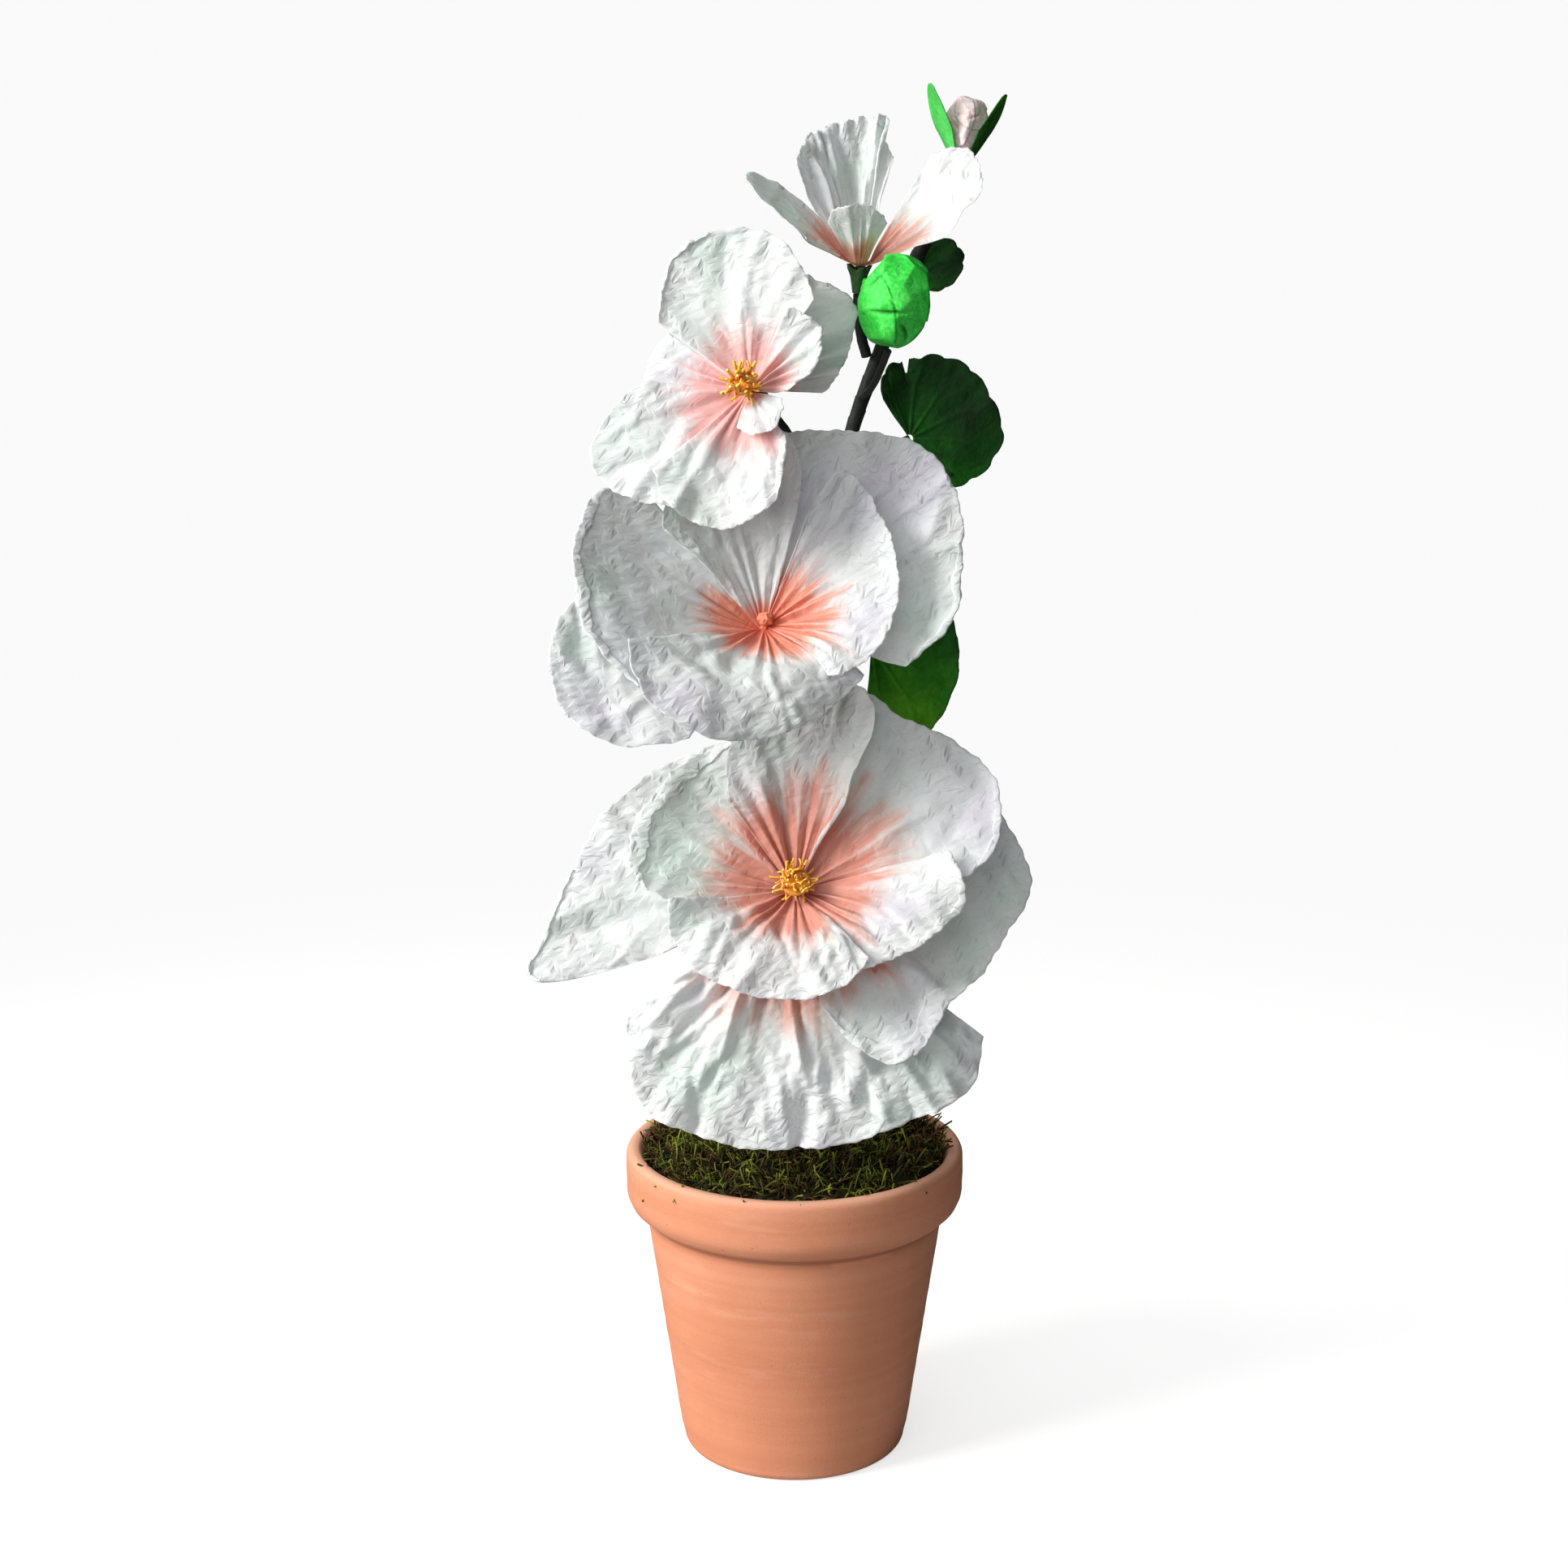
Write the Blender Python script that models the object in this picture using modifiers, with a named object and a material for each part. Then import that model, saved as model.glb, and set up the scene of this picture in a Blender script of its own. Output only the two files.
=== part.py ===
"""A potted paper hollyhock: four tissue-paper blooms, two buds and three leaves on a
wire stem that stands in a terracotta pot filled with foam and covered with moss.

Metres, +Z up.  The blooms face -Y, and the pot stands on the plane z = 0.
"""

import math

import bmesh
import bpy
import numpy as np
from mathutils import Vector

MM = 0.001
GAP = 0.3 * MM  # clearance between pieces that touch

# pot, a turned terracotta shell
POT_HEIGHT = 98.0 * MM
POT_RIM_RADIUS = 52.5 * MM
POT_RIM_BAND = 14.5 * MM  # straight height of the rim
POT_CREASE_Z = 77.5 * MM  # where the rim meets the tapering body
POT_CREASE_RADIUS = 46.4 * MM
POT_FOOT_RADIUS = 35.0 * MM
POT_WALL = 6.0 * MM
RIM_THICKNESS = 5.0 * MM
POT_FLOOR = 8.0 * MM
POT_FILLET = 3.0 * MM
DRAIN_RADIUS = 6.0 * MM
ROUND_STEPS = 36

# filling
PLUG_TOP = 80.0 * MM
MOSS_EDGE_Z = 97.5 * MM
MOSS_CROWN_Z = 104.0 * MM
SOCKET_BOTTOM = 20.0 * MM  # how deep the stem is pushed into the foam

# stem and stalks
STEM_RADIUS = 2.1 * MM
STEM_TIP_TAPER = 0.75
STALK_RADIUS = 1.5 * MM
LEAF_STALK_RADIUS = 1.0 * MM

# paper
PAPER = 0.45 * MM  # the sheet's modelled thickness
LAYER_STEP = 0.8 * MM  # spacing of petals that are glued one on the other
PETAL_START = 4.2 * MM  # radius at which the outermost petals leave the heart
FAN_MARGIN = 3.0  # degrees by which an upper petal stays above a lower one
FAN_COLUMNS = 8
FAN_ROWS = 7
SAMPLES = 49  # fine steps used to work out a petal's arc

# the whole plant is shifted so that its bounding box is centred on the origin
CENTRE_SHIFT = Vector((0.0042, 0.0123, 0.0))

COLOURS = {
    "terracotta": ((0.62, 0.26, 0.15), 0.85),
    "foam": ((0.10, 0.22, 0.10), 0.95),
    "moss": ((0.10, 0.13, 0.03), 1.0),
    "stem": ((0.012, 0.020, 0.012), 0.6),
    "tissue": ((0.84, 0.85, 0.86), 0.7),
    "coral": ((0.93, 0.42, 0.30), 0.75),
    "stamen": ((0.90, 0.58, 0.08), 0.8),
    "calyx": ((0.03, 0.10, 0.03), 0.75),
    "leaf": ((0.02, 0.20, 0.02), 0.7),
    "bright_leaf": ((0.06, 0.36, 0.03), 0.7),
    "bud": ((0.10, 0.72, 0.12), 0.75),
}


def clear_scene():
    for item in list(bpy.data.objects):
        bpy.data.objects.remove(item, do_unlink=True)


def new_collection(name):
    collection = bpy.data.collections.new(name)
    bpy.context.scene.collection.children.link(collection)
    return collection


def material(finish):
    colour, roughness = COLOURS[finish]
    existing = bpy.data.materials.get(finish)
    if existing:
        return existing
    made = bpy.data.materials.new(finish)
    made.use_nodes = True
    shader = made.node_tree.nodes["Principled BSDF"]
    shader.inputs["Base Color"].default_value = (*colour, 1.0)
    shader.inputs["Roughness"].default_value = roughness
    shader.inputs["Metallic"].default_value = 0.0
    return made


def add_object(name, data, finish, parent):
    made = bpy.data.objects.new(name, data)
    data.materials.append(material(finish))
    parts.objects.link(made)
    made.parent = parent
    return made


def add_empty(name, location, parent=None, rotation=(0.0, 0.0, 0.0)):
    made = bpy.data.objects.new(name, None)
    made.location = location
    made.rotation_euler = rotation
    made.parent = parent
    made.empty_display_size = 0.01
    parts.objects.link(made)
    return made


def mesh_from(bm, name):
    mesh = bpy.data.meshes.new(name)
    bm.to_mesh(mesh)
    bm.free()
    mesh.shade_smooth()
    return mesh


# --- turned pieces -------------------------------------------------------------


def turned(name, profile, finish, parent, closed=False, steps=ROUND_STEPS):
    """Spin a profile of (radius, height) points, which runs down its outer side."""
    mesh = bpy.data.meshes.new(name)
    points = [(radius, 0.0, height) for radius, height in profile]
    edges = [(i, i + 1) for i in range(len(points) - 1)]
    if closed:
        edges.append((len(points) - 1, 0))
    mesh.from_pydata(points, edges, [])
    made = add_object(name, mesh, finish, parent)
    screw = made.modifiers.new("Screw", "SCREW")
    screw.axis = "Z"
    screw.steps = steps
    screw.render_steps = steps
    screw.use_merge_vertices = True
    screw.merge_threshold = 0.00002
    screw.use_smooth_shade = True
    return made


def arc(centre, radius, start, end, count):
    """Points on an arc in the profile plane, angles in degrees from +radius."""
    angles = np.radians(np.linspace(start, end, count))
    return [(centre[0] + radius * math.cos(a), centre[1] + radius * math.sin(a)) for a in angles]


def inner_radius(height):
    """Radius of the pot's inside wall."""
    slope = (POT_RIM_RADIUS - RIM_THICKNESS - (POT_FOOT_RADIUS - POT_WALL)) / (POT_HEIGHT - POT_FLOOR)
    return POT_FOOT_RADIUS - POT_WALL + slope * (height - POT_FLOOR)


def build_pot(parent):
    lip = 2.2 * MM
    band_bottom = POT_HEIGHT - POT_RIM_BAND
    profile = [(DRAIN_RADIUS, POT_FLOOR), (inner_radius(POT_FLOOR), POT_FLOOR)]
    profile += [(inner_radius(POT_HEIGHT - lip), POT_HEIGHT - lip)]
    profile += [(inner_radius(POT_HEIGHT) + 1.2 * MM, POT_HEIGHT)]
    profile += arc((POT_RIM_RADIUS - lip, POT_HEIGHT - lip), lip, 90, 0, 4)
    profile += [(POT_RIM_RADIUS, band_bottom), (POT_RIM_RADIUS - 1.2 * MM, band_bottom - 2.5 * MM)]
    profile += [(POT_CREASE_RADIUS, POT_CREASE_Z), (POT_FOOT_RADIUS + 1.0 * MM, 7.0 * MM)]
    profile += arc((POT_FOOT_RADIUS - POT_FILLET, POT_FILLET), POT_FILLET, 0, -90, 4)
    profile += [(DRAIN_RADIUS, 0.0)]
    turned("pot", profile, "terracotta", parent, closed=True)


def build_plug(parent):
    socket = STEM_RADIUS + GAP
    bottom = POT_FLOOR + GAP
    profile = [
        (0.0, SOCKET_BOTTOM - GAP),
        (socket, SOCKET_BOTTOM - GAP),
        (socket, PLUG_TOP),
        (inner_radius(PLUG_TOP) - 0.8 * MM, PLUG_TOP),
        (inner_radius(bottom) - 0.8 * MM, bottom),
        (0.0, bottom),
    ]
    turned("foam_plug", profile, "foam", parent)


def build_moss(parent):
    """A low mound that fills the mouth of the pot, with a lumpy top."""
    bottom = PLUG_TOP + GAP
    top_edge = inner_radius(MOSS_EDGE_Z) - 0.8 * MM
    socket = STEM_RADIUS + GAP
    profile = [(socket, bottom), (socket, MOSS_CROWN_Z)]
    for step in range(1, 5):
        reach = step / 5
        profile.append((reach * top_edge, MOSS_EDGE_Z + (MOSS_CROWN_Z - MOSS_EDGE_Z) * (1 - reach**2)))
    profile += [(top_edge - 0.4 * MM, MOSS_EDGE_Z - 2.5 * MM), (inner_radius(bottom) - 0.8 * MM, bottom)]
    turned("moss", profile, "moss", parent, closed=True, steps=28)


# --- stems ---------------------------------------------------------------------


def smooth_route(points, count):
    """Evenly numbered points on a smooth curve through the given ones."""
    route = np.array(points, float)
    at = np.linspace(0.0, 1.0, count)
    return np.stack([spline(route[:, axis], at) for axis in range(3)], axis=1)


def beside_stem(height, bearing, radius):
    """Where a stalk starts, just clear of the stem.  Bearing 0 is the front, 90 the right."""
    route = smooth_route(STEM_ROUTE, 80)
    reach = STEM_RADIUS + radius + 2 * GAP
    turn = math.radians(bearing)
    x = float(np.interp(height, route[:, 2], route[:, 0])) + reach * math.sin(turn)
    y = float(np.interp(height, route[:, 2], route[:, 1])) - reach * math.cos(turn)
    return (x, y, height)


def stalk(name, points, radius, finish, parent, count=9, taper=1.0):
    curve = bpy.data.curves.new(name, "CURVE")
    curve.dimensions = "3D"
    curve.bevel_depth = radius
    curve.bevel_resolution = 2
    curve.use_fill_caps = True
    line = curve.splines.new("POLY")
    route = smooth_route(points, count)
    line.points.add(count - 1)
    for step, point in enumerate(route):
        line.points[step].co = (*point, 1.0)
        line.points[step].radius = 1.0 + (taper - 1.0) * step / (count - 1)
    return add_object(name, curve, finish, parent)


# --- paper fans: petals, leaves and sepals ---------------------------------------


def spline(values, at):
    """Catmull-Rom curve through evenly spaced values, read at 0..1."""
    knots = np.asarray(values, float)
    last = len(knots) - 1
    place = np.clip(at, 0.0, 1.0) * last
    index = np.minimum(place.astype(int), last - 1)
    f = place - index
    padded = np.concatenate([[2 * knots[0] - knots[1]], knots, [2 * knots[-1] - knots[-2]]])
    a, b, c, d = padded[index], padded[index + 1], padded[index + 2], padded[index + 3]
    return 0.5 * (2 * b + (c - a) * f + (2 * a - 5 * b + 4 * c - d) * f**2 + (3 * b - a - 3 * c + d) * f**3)


def ease(x):
    x = np.clip(x, 0.0, 1.0)
    return x * x * (3.0 - 2.0 * x)


class Fan:
    """One sheet of paper that fans out from a heart.

    Rays run from the heart to the sheet's edge.  Each has a clock angle about the bloom's
    axis (0 up, 90 right), a reach from that axis along the paper in millimetres, a lift in
    degrees above the bloom's plane where it starts, and a curl added towards its end.
    """

    def __init__(self, layer, clock, reach, lift, curl=0.0, bend=0.3, below=()):
        self.layer = layer
        self.bend = bend
        self.across = np.linspace(0.0, 1.0, SAMPLES)
        self.clock = spline(clock, self.across)
        self.reach = spline(reach, self.across) * MM
        along = np.linspace(0.0, 1.0, SAMPLES)[:, None]
        curls = spline(curl, self.across) if np.ndim(curl) else np.full(SAMPLES, curl)
        self.lift = spline(lift, self.across)[None, :] + curls[None, :] * ease((along - bend) / (1 - bend))
        for other in below:
            self.rise_above(other)

    def rise_above(self, other):
        """Lift this sheet wherever it would cut into one that lies below it."""
        place = np.interp(self.clock, other.clock, other.across)
        outside = np.maximum(other.clock[0] - self.clock, self.clock - other.clock[-1])
        near = 1.0 - ease(outside / 10.0)
        length = np.linspace(0.0, 1.0, SAMPLES)[:, None] * self.reach[None, :]
        share = length / np.interp(place, other.across, other.reach)[None, :]
        floor = other.read(other.lift, np.broadcast_to(place, share.shape), np.clip(share, 0, 1))
        weight = near[None, :] * (1.0 - ease((share - 1.0) / 0.3))
        self.lift = self.lift + weight * np.maximum(0.0, floor + FAN_MARGIN - self.lift)

    def read(self, table, u, t):
        """Read a table of samples (along, across) between its points."""
        x = np.clip(u, 0, 1) * (SAMPLES - 1)
        y = np.clip(t, 0, 1) * (SAMPLES - 1)
        i = np.minimum(x.astype(int), SAMPLES - 2)
        j = np.minimum(y.astype(int), SAMPLES - 2)
        fx, fy = x - i, y - j
        top = table[j, i] * (1 - fx) + table[j, i + 1] * fx
        low = table[j + 1, i] * (1 - fx) + table[j + 1, i + 1] * fx
        return top * (1 - fy) + low * fy

    def points(self, u, t, start=PETAL_START):
        """Places on the sheet for u across it and t along it."""
        angle = np.radians(self.lift)
        step = (self.reach[None, :] - start) / (SAMPLES - 1)
        run = np.cos(angle) * step
        rise = np.sin(angle) * step
        radius = np.concatenate([np.zeros((1, SAMPLES)), np.cumsum((run[1:] + run[:-1]) / 2, axis=0)])
        height = np.concatenate([np.zeros((1, SAMPLES)), np.cumsum((rise[1:] + rise[:-1]) / 2, axis=0)])
        offset = self.layer * LAYER_STEP
        radius = radius + start - offset * np.sin(angle[0])[None, :]
        height = height + offset * np.cos(angle[0])[None, :]
        r = self.read(radius, u, t)
        h = self.read(height, u, t)
        c = np.radians(np.interp(u, self.across, self.clock))
        return np.stack([r * np.sin(c), r * np.cos(c), h], axis=-1)


def build_fan(name, fan, finish, parent, columns=FAN_COLUMNS, rows=FAN_ROWS, start=PETAL_START):
    bm = bmesh.new()
    bmesh.ops.create_grid(bm, x_segments=columns, y_segments=rows, size=0.5)
    places = np.array([vert.co[:] for vert in bm.verts])
    shape = fan.points(places[:, 0] + 0.5, places[:, 1] + 0.5, start)
    for vert, place in zip(bm.verts, shape):
        vert.co = place
    made = add_object(name, mesh_from(bm, name), finish, parent)
    solidify = made.modifiers.new("Solidify", "SOLIDIFY")
    solidify.thickness = PAPER
    solidify.offset = 0.0
    return made


def build_petals(prefix, specs, parent):
    """Petals from the lowest layer to the uppermost, each clear of those below it."""
    made = []
    for name, spec in specs.items():
        fan = Fan(below=[other for other in made if other.layer < spec["layer"]], **spec)
        build_fan(f"{prefix}_{name}", fan, "tissue", parent)
        made.append(fan)


def bloom_empty(name, location, rise, turn, parent):
    """The bloom's frame: local +Z is the way it faces, +Y is up in the bloom's plane."""
    return add_empty(name, location, parent, (math.radians(90 - rise), 0.0, math.radians(turn)))


def build_calyx(prefix, parent, radius, top, length, finish="calyx"):
    """A five-lobed cup behind the petals."""
    lobes = 5
    bm = bmesh.new()
    bmesh.ops.create_cone(
        bm, cap_ends=True, segments=lobes * 4, radius1=STALK_RADIUS * 1.2, radius2=radius, depth=length
    )
    for vert in bm.verts:
        if vert.co.z > 0:
            swell = 1.0 + 0.18 * math.cos(lobes * math.atan2(vert.co.y, vert.co.x))
            vert.co.x *= swell
            vert.co.y *= swell
        vert.co.z += top - length / 2
    add_object(f"{prefix}_calyx", mesh_from(bm, f"{prefix}_calyx"), finish, parent)


def build_heart(name, stalk_radius, bottom, head_radius, head_low, head_high, finish, parent):
    """A turned tuft on a short stalk, pushed through the petals' centre."""
    middle = (head_low + head_high) / 2
    profile = [
        (0.0, head_high),
        (0.55 * head_radius, head_high - 0.12 * (head_high - head_low)),
        (0.9 * head_radius, middle + 0.2 * (head_high - head_low)),
        (head_radius, middle),
        (0.7 * head_radius, head_low + 0.1 * (head_high - head_low)),
        (stalk_radius, head_low),
        (stalk_radius, bottom),
        (0.0, bottom),
    ]
    turned(name, profile, finish, parent, steps=14)


def build_bud(name, location, sizes, lean, finish, parent):
    """A wad of crumpled paper: a rounded form with a few soft dents."""
    bm = bmesh.new()
    bmesh.ops.create_uvsphere(bm, u_segments=16, v_segments=10, radius=1.0)
    for vert in bm.verts:
        around = math.atan2(vert.co.y, vert.co.x)
        dent = 1.0 + 0.05 * math.cos(3 * around + 2.0 * vert.co.z) * math.sqrt(max(0.0, 1 - vert.co.z**2))
        for axis in range(3):
            vert.co[axis] *= sizes[axis] * dent
    made = add_object(name, mesh_from(bm, name), finish, parent)
    made.location = location
    made.rotation_euler = (0.0, math.radians(lean), 0.0)
    return made


# --- the plant -------------------------------------------------------------------

STEM_ROUTE = [
    (0.000, 0.000, 0.020),
    (0.000, 0.000, 0.100),
    (0.002, 0.002, 0.180),
    (0.006, 0.004, 0.250),
    (0.011, 0.005, 0.295),
    (0.0172, 0.005, 0.321),
    (0.0255, 0.005, 0.3444),
    (0.0365, 0.006, 0.372),
    (0.0479, 0.0105, 0.3948),
]

BOTTOM_BLOOM = {
    "outer_bottom": dict(
        layer=0,
        clock=(126, 136, 152, 168, 187, 204, 219, 236),
        reach=(70, 78, 76, 76, 77, 78, 77, 62),
        lift=(-12, -16, -20, -22, -22, -20, -18, -14),
    ),
    "outer_right": dict(
        layer=1,
        clock=(40, 56, 70, 84, 104, 128, 150, 168),
        reach=(50, 64, 69, 72, 63, 57, 60, 36),
        lift=(-2, -4, -6, -8, -8, -6, -6, -6),
        curl=(0, 0, 0, 0, 4, 6, 6, 4),
    ),
    "outer_left": dict(
        layer=1,
        clock=(246, 252, 262, 276, 292, 312, 334),
        reach=(44, 82, 75, 67, 62, 56, 50),
        lift=(-8, -6, -4, 0, 4, 8, 10),
    ),
    "right_top": dict(
        layer=2,
        clock=(10, 20, 34, 50, 64, 78, 92),
        reach=(57, 64, 62, 67, 68, 64, 54),
        lift=(18, 16, 12, 10, 10, 12, 16),
        curl=(0, 0, 0, 0, 4, 8, 10),
    ),
    "left": dict(
        layer=3,
        clock=(256, 270, 284, 300, 320, 344),
        reach=(42, 51, 53, 52, 51, 49),
        lift=(20, 18, 16, 16, 16, 18),
        curl=(4, 4, 2, 0, 0, 0),
    ),
    "top": dict(
        layer=4,
        clock=(320, 336, 352, 366, 376, 384, 391),
        reach=(34, 50, 54, 58, 65, 60, 42),
        lift=(22, 20, 18, 18, 18, 20, 24),
    ),
    "right_lower": dict(
        layer=4,
        clock=(82, 98, 114, 130, 148),
        reach=(50, 54, 48, 42, 36),
        lift=(20, 20, 22, 24, 26),
        curl=(8, -16, -40, -55, -55),
        bend=0.5,
    ),
    "bottom": dict(
        layer=5,
        clock=(140, 160, 184, 206, 230, 256),
        reach=(38, 41, 42, 43, 45, 44),
        lift=(28, 27, 27, 26, 25, 24),
        curl=(-55, -70, -70, -65, -45, -6),
        bend=0.5,
    ),
}

MIDDLE_BLOOM = {
    "back_right": dict(
        layer=0,
        clock=(-2, 14, 30, 47, 64, 82, 100, 118),
        reach=(54, 61, 65, 71, 70, 62, 56, 44),
        lift=(36, 34, 32, 30, 28, 23, 17, 10),
    ),
    "outer_left": dict(
        layer=0,
        clock=(214, 228, 242, 254, 266, 280),
        reach=(45, 61, 68, 67, 62, 52),
        lift=(-4, 0, 4, 8, 12, 16),
    ),
    "left": dict(
        layer=1,
        clock=(234, 250, 266, 282, 298, 314),
        reach=(50, 58, 62, 64, 64, 56),
        lift=(12, 18, 22, 26, 28, 30),
        curl=(0, 6, 8, 8, 4, 0),
    ),
    "top": dict(
        layer=2,
        clock=(302, 324, 346, 364, 376, 384),
        reach=(44, 55, 60, 61, 54, 36),
        lift=(38, 39, 40, 40, 40, 42),
    ),
    "front": dict(
        layer=3,
        clock=(128, 150, 174, 198, 222, 246),
        reach=(36, 38, 42, 48, 54, 50),
        lift=(18, 18, 18, 18, 20, 24),
        curl=(-50, -66, -66, -56, -36, -10),
        bend=0.35,
    ),
    "right": dict(
        layer=4,
        clock=(30, 37, 46, 62, 84, 108, 130, 148),
        reach=(42, 53, 52, 49, 46, 42, 38, 32),
        lift=(42, 42, 40, 38, 34, 30, 26, 24),
        curl=(0, 0, 0, 0, 0, -16, -40, -50),
        bend=0.4,
    ),
}

UPPER_BLOOM = {
    "back": dict(
        layer=0,
        clock=(4, 16, 28, 40, 52, 66, 84),
        reach=(44, 47, 48, 45, 37, 30, 22),
        lift=(-26, -28, -30, -30, -30, -30, -28),
    ),
    "left": dict(
        layer=0,
        clock=(262, 276, 290, 304),
        reach=(29, 32, 32, 31),
        lift=(0, -2, -2, 0),
    ),
    "lower_left": dict(
        layer=1,
        clock=(206, 222, 236, 248, 260, 272),
        reach=(42, 48, 51, 47, 39, 29),
        lift=(14, 14, 14, 13, 12, 10),
    ),
    "top": dict(
        layer=1,
        clock=(-56, -42, -28, -12, 4, 20, 36),
        reach=(33, 41, 46, 47, 46, 40, 32),
        lift=(12, 10, 10, 10, 10, 12, 14),
    ),
    "bottom": dict(
        layer=2,
        clock=(138, 154, 170, 188, 206, 222),
        reach=(20, 31, 40, 43, 43, 38),
        lift=(16, 14, 12, 10, 10, 12),
    ),
    "right": dict(
        layer=2,
        clock=(28, 42, 56, 70, 84, 98),
        reach=(28, 29, 28, 25, 20, 15),
        lift=(26, 20, 18, 18, 20, 26),
    ),
    "front": dict(
        layer=3,
        clock=(108, 128, 148, 168, 186),
        reach=(15, 18, 20, 19, 16),
        lift=(38, 36, 35, 36, 38),
        curl=-30,
    ),
}

TOP_BLOOM = {
    "right": dict(
        layer=0,
        clock=(56, 70, 86, 102, 118),
        reach=(40, 46, 46, 41, 32),
        lift=(54, 48, 42, 34, 26),
    ),
    "back": dict(
        layer=2,
        clock=(-80, -56, -28, 0, 26, 44),
        reach=(36, 41, 44, 46, 46, 40),
        lift=(62, 62, 63, 65, 66, 66),
    ),
    "left": dict(
        layer=1,
        clock=(236, 252, 268, 284, 296),
        reach=(22, 34, 43, 33, 22),
        lift=(28, 35, 42, 48, 52),
    ),
    "front": dict(
        layer=1,
        clock=(138, 160, 184, 208, 230),
        reach=(20, 25, 27, 26, 20),
        lift=(58, 60, 62, 60, 56),
    ),
}


def build_blooms(plant):
    bottom = bloom_empty("bottom_bloom", (0.0, -0.035, 0.1888), 35, 0, plant)
    build_petals("bottom_petal", BOTTOM_BLOOM, bottom)
    build_calyx("bottom", bottom, 4.2 * MM, -1.6 * MM, 10 * MM)
    build_heart("bottom_stamens", 1.2 * MM, -1.2 * MM, 6.3 * MM, 7.2 * MM, 12 * MM, "stamen", bottom)

    middle = bloom_empty("middle_bloom", (-0.0090, -0.035, 0.2670), 50, 8, plant)
    build_petals("middle_petal", MIDDLE_BLOOM, middle)
    build_calyx("middle", middle, 4.2 * MM, -1.6 * MM, 10 * MM)
    build_heart("middle_heart", 1.2 * MM, -1.2 * MM, 2.2 * MM, 3 * MM, 7 * MM, "coral", middle)

    upper = bloom_empty("upper_bloom", (-0.0130, -0.033, 0.3350), 20, -12, plant)
    build_petals("upper_petal", UPPER_BLOOM, upper)
    build_calyx("upper", upper, 4.0 * MM, -3.4 * MM, 9 * MM)
    build_heart("upper_stamens", 1.2 * MM, -3.0 * MM, 4.8 * MM, 5.5 * MM, 12 * MM, "stamen", upper)

    top = bloom_empty("top_bloom", (0.0182, -0.008, 0.3697), 80, 0, plant)
    build_petals("top_petal", TOP_BLOOM, top)
    build_calyx("top", top, 3.4 * MM, -0.8 * MM, 8 * MM)
    build_heart("top_heart", 1.2 * MM, -0.4 * MM, 2.4 * MM, 3 * MM, 8 * MM, "coral", top)


def build_stems(plant):
    stalk("stem", STEM_ROUTE, STEM_RADIUS, "stem", plant, count=18, taper=STEM_TIP_TAPER)
    ends = {
        "bottom_pedicel": (0.166, 0, [(0.001, -0.012, 0.178), (0.0, -0.0235, 0.1808)]),
        "middle_pedicel": (0.244, -20, [(-0.003, -0.013, 0.252), (-0.0100, -0.0268, 0.2572)]),
        "upper_pedicel": (0.294, -40, [(-0.001, -0.010, 0.318), (-0.0095, -0.0205, 0.3305)]),
        "top_pedicel": (0.342, -60, [(0.0190, 0.001, 0.350), (0.0182, -0.0060, 0.3603)]),
    }
    for name, (height, bearing, rest) in ends.items():
        route = [beside_stem(height, bearing, STALK_RADIUS), *rest]
        stalk(name, route, STALK_RADIUS, "stem", plant, count=6)


def build_buds(plant):
    green = (0.0284, -0.019, 0.3592)
    build_bud("green_bud", green, (10.0 * MM, 9.5 * MM, 13.0 * MM), 10, "bud", plant)
    route = [beside_stem(0.330, -10, LEAF_STALK_RADIUS), (0.0228, -0.010, 0.335), (0.0266, -0.0185, 0.3452)]
    stalk("bud_stalk", route, LEAF_STALK_RADIUS, "stem", plant, count=6)

    build_bud("top_bud", (0.0495, 0.0105, 0.4082), (6.0 * MM, 5.8 * MM, 7.6 * MM), 8, "tissue", plant)
    cup = bloom_empty("top_bud_frame", (0.0486, 0.0105, 0.4000), 84, 90, plant)
    build_calyx("bud", cup, 3.2 * MM, -0.8 * MM, 3.4 * MM)
    sepals = {
        "left_sepal": (-32, 25.5, 57, "bud"),
        "right_sepal": (212, 24, 60, "leaf"),
        "back_sepal": (90, 21, 60, "leaf"),
    }
    for name, (clock, reach, lift, finish) in sepals.items():
        rays = (clock - 30, clock, clock + 30)
        sheet = Fan(0, rays, (12, reach, 12), (lift, lift + 4, lift), curl=(0, 4, 0))
        build_fan(f"bud_{name}", sheet, finish, cup, columns=4, rows=5, start=3.9 * MM)


LEAVES = {
    "upper_leaf": dict(
        frame=((0.0345, 0.020, 0.3160), 8, 10),
        finish="leaf",
        stalk=(0.302, 90, (0.024, 0.017, 0.311)),
        clock=(-36, -18, 0, 20, 42, 66, 90, 114, 140, 165),
        reach=(16, 23, 24, 27, 29, 29, 30, 26, 20, 14),
        lift=(10, 4, 0, 0, 0, 0, 0, 0, 4, 10),
    ),
    "lower_leaf": dict(
        frame=((0.0235, 0.016, 0.2530), 4, 14),
        finish="bright_leaf",
        stalk=(0.235, 110, (0.015, 0.0145, 0.246)),
        clock=(20, 44, 68, 92, 114, 134, 152, 170, 188),
        reach=(18, 24, 27, 28, 30, 32, 33, 26, 16),
        lift=(10, 4, 0, 0, 0, 0, 0, 4, 10),
    ),
    "top_leaf": dict(
        frame=((0.0340, 0.0150, 0.3640), 6, 6),
        finish="leaf",
        stalk=(0.348, 160, (0.031, 0.0135, 0.357)),
        clock=(0, 24, 46, 66, 84, 104, 124),
        reach=(8, 12, 17, 18, 16, 12, 8),
        lift=(8, 2, 0, 0, 0, 2, 8),
    ),
}


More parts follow.
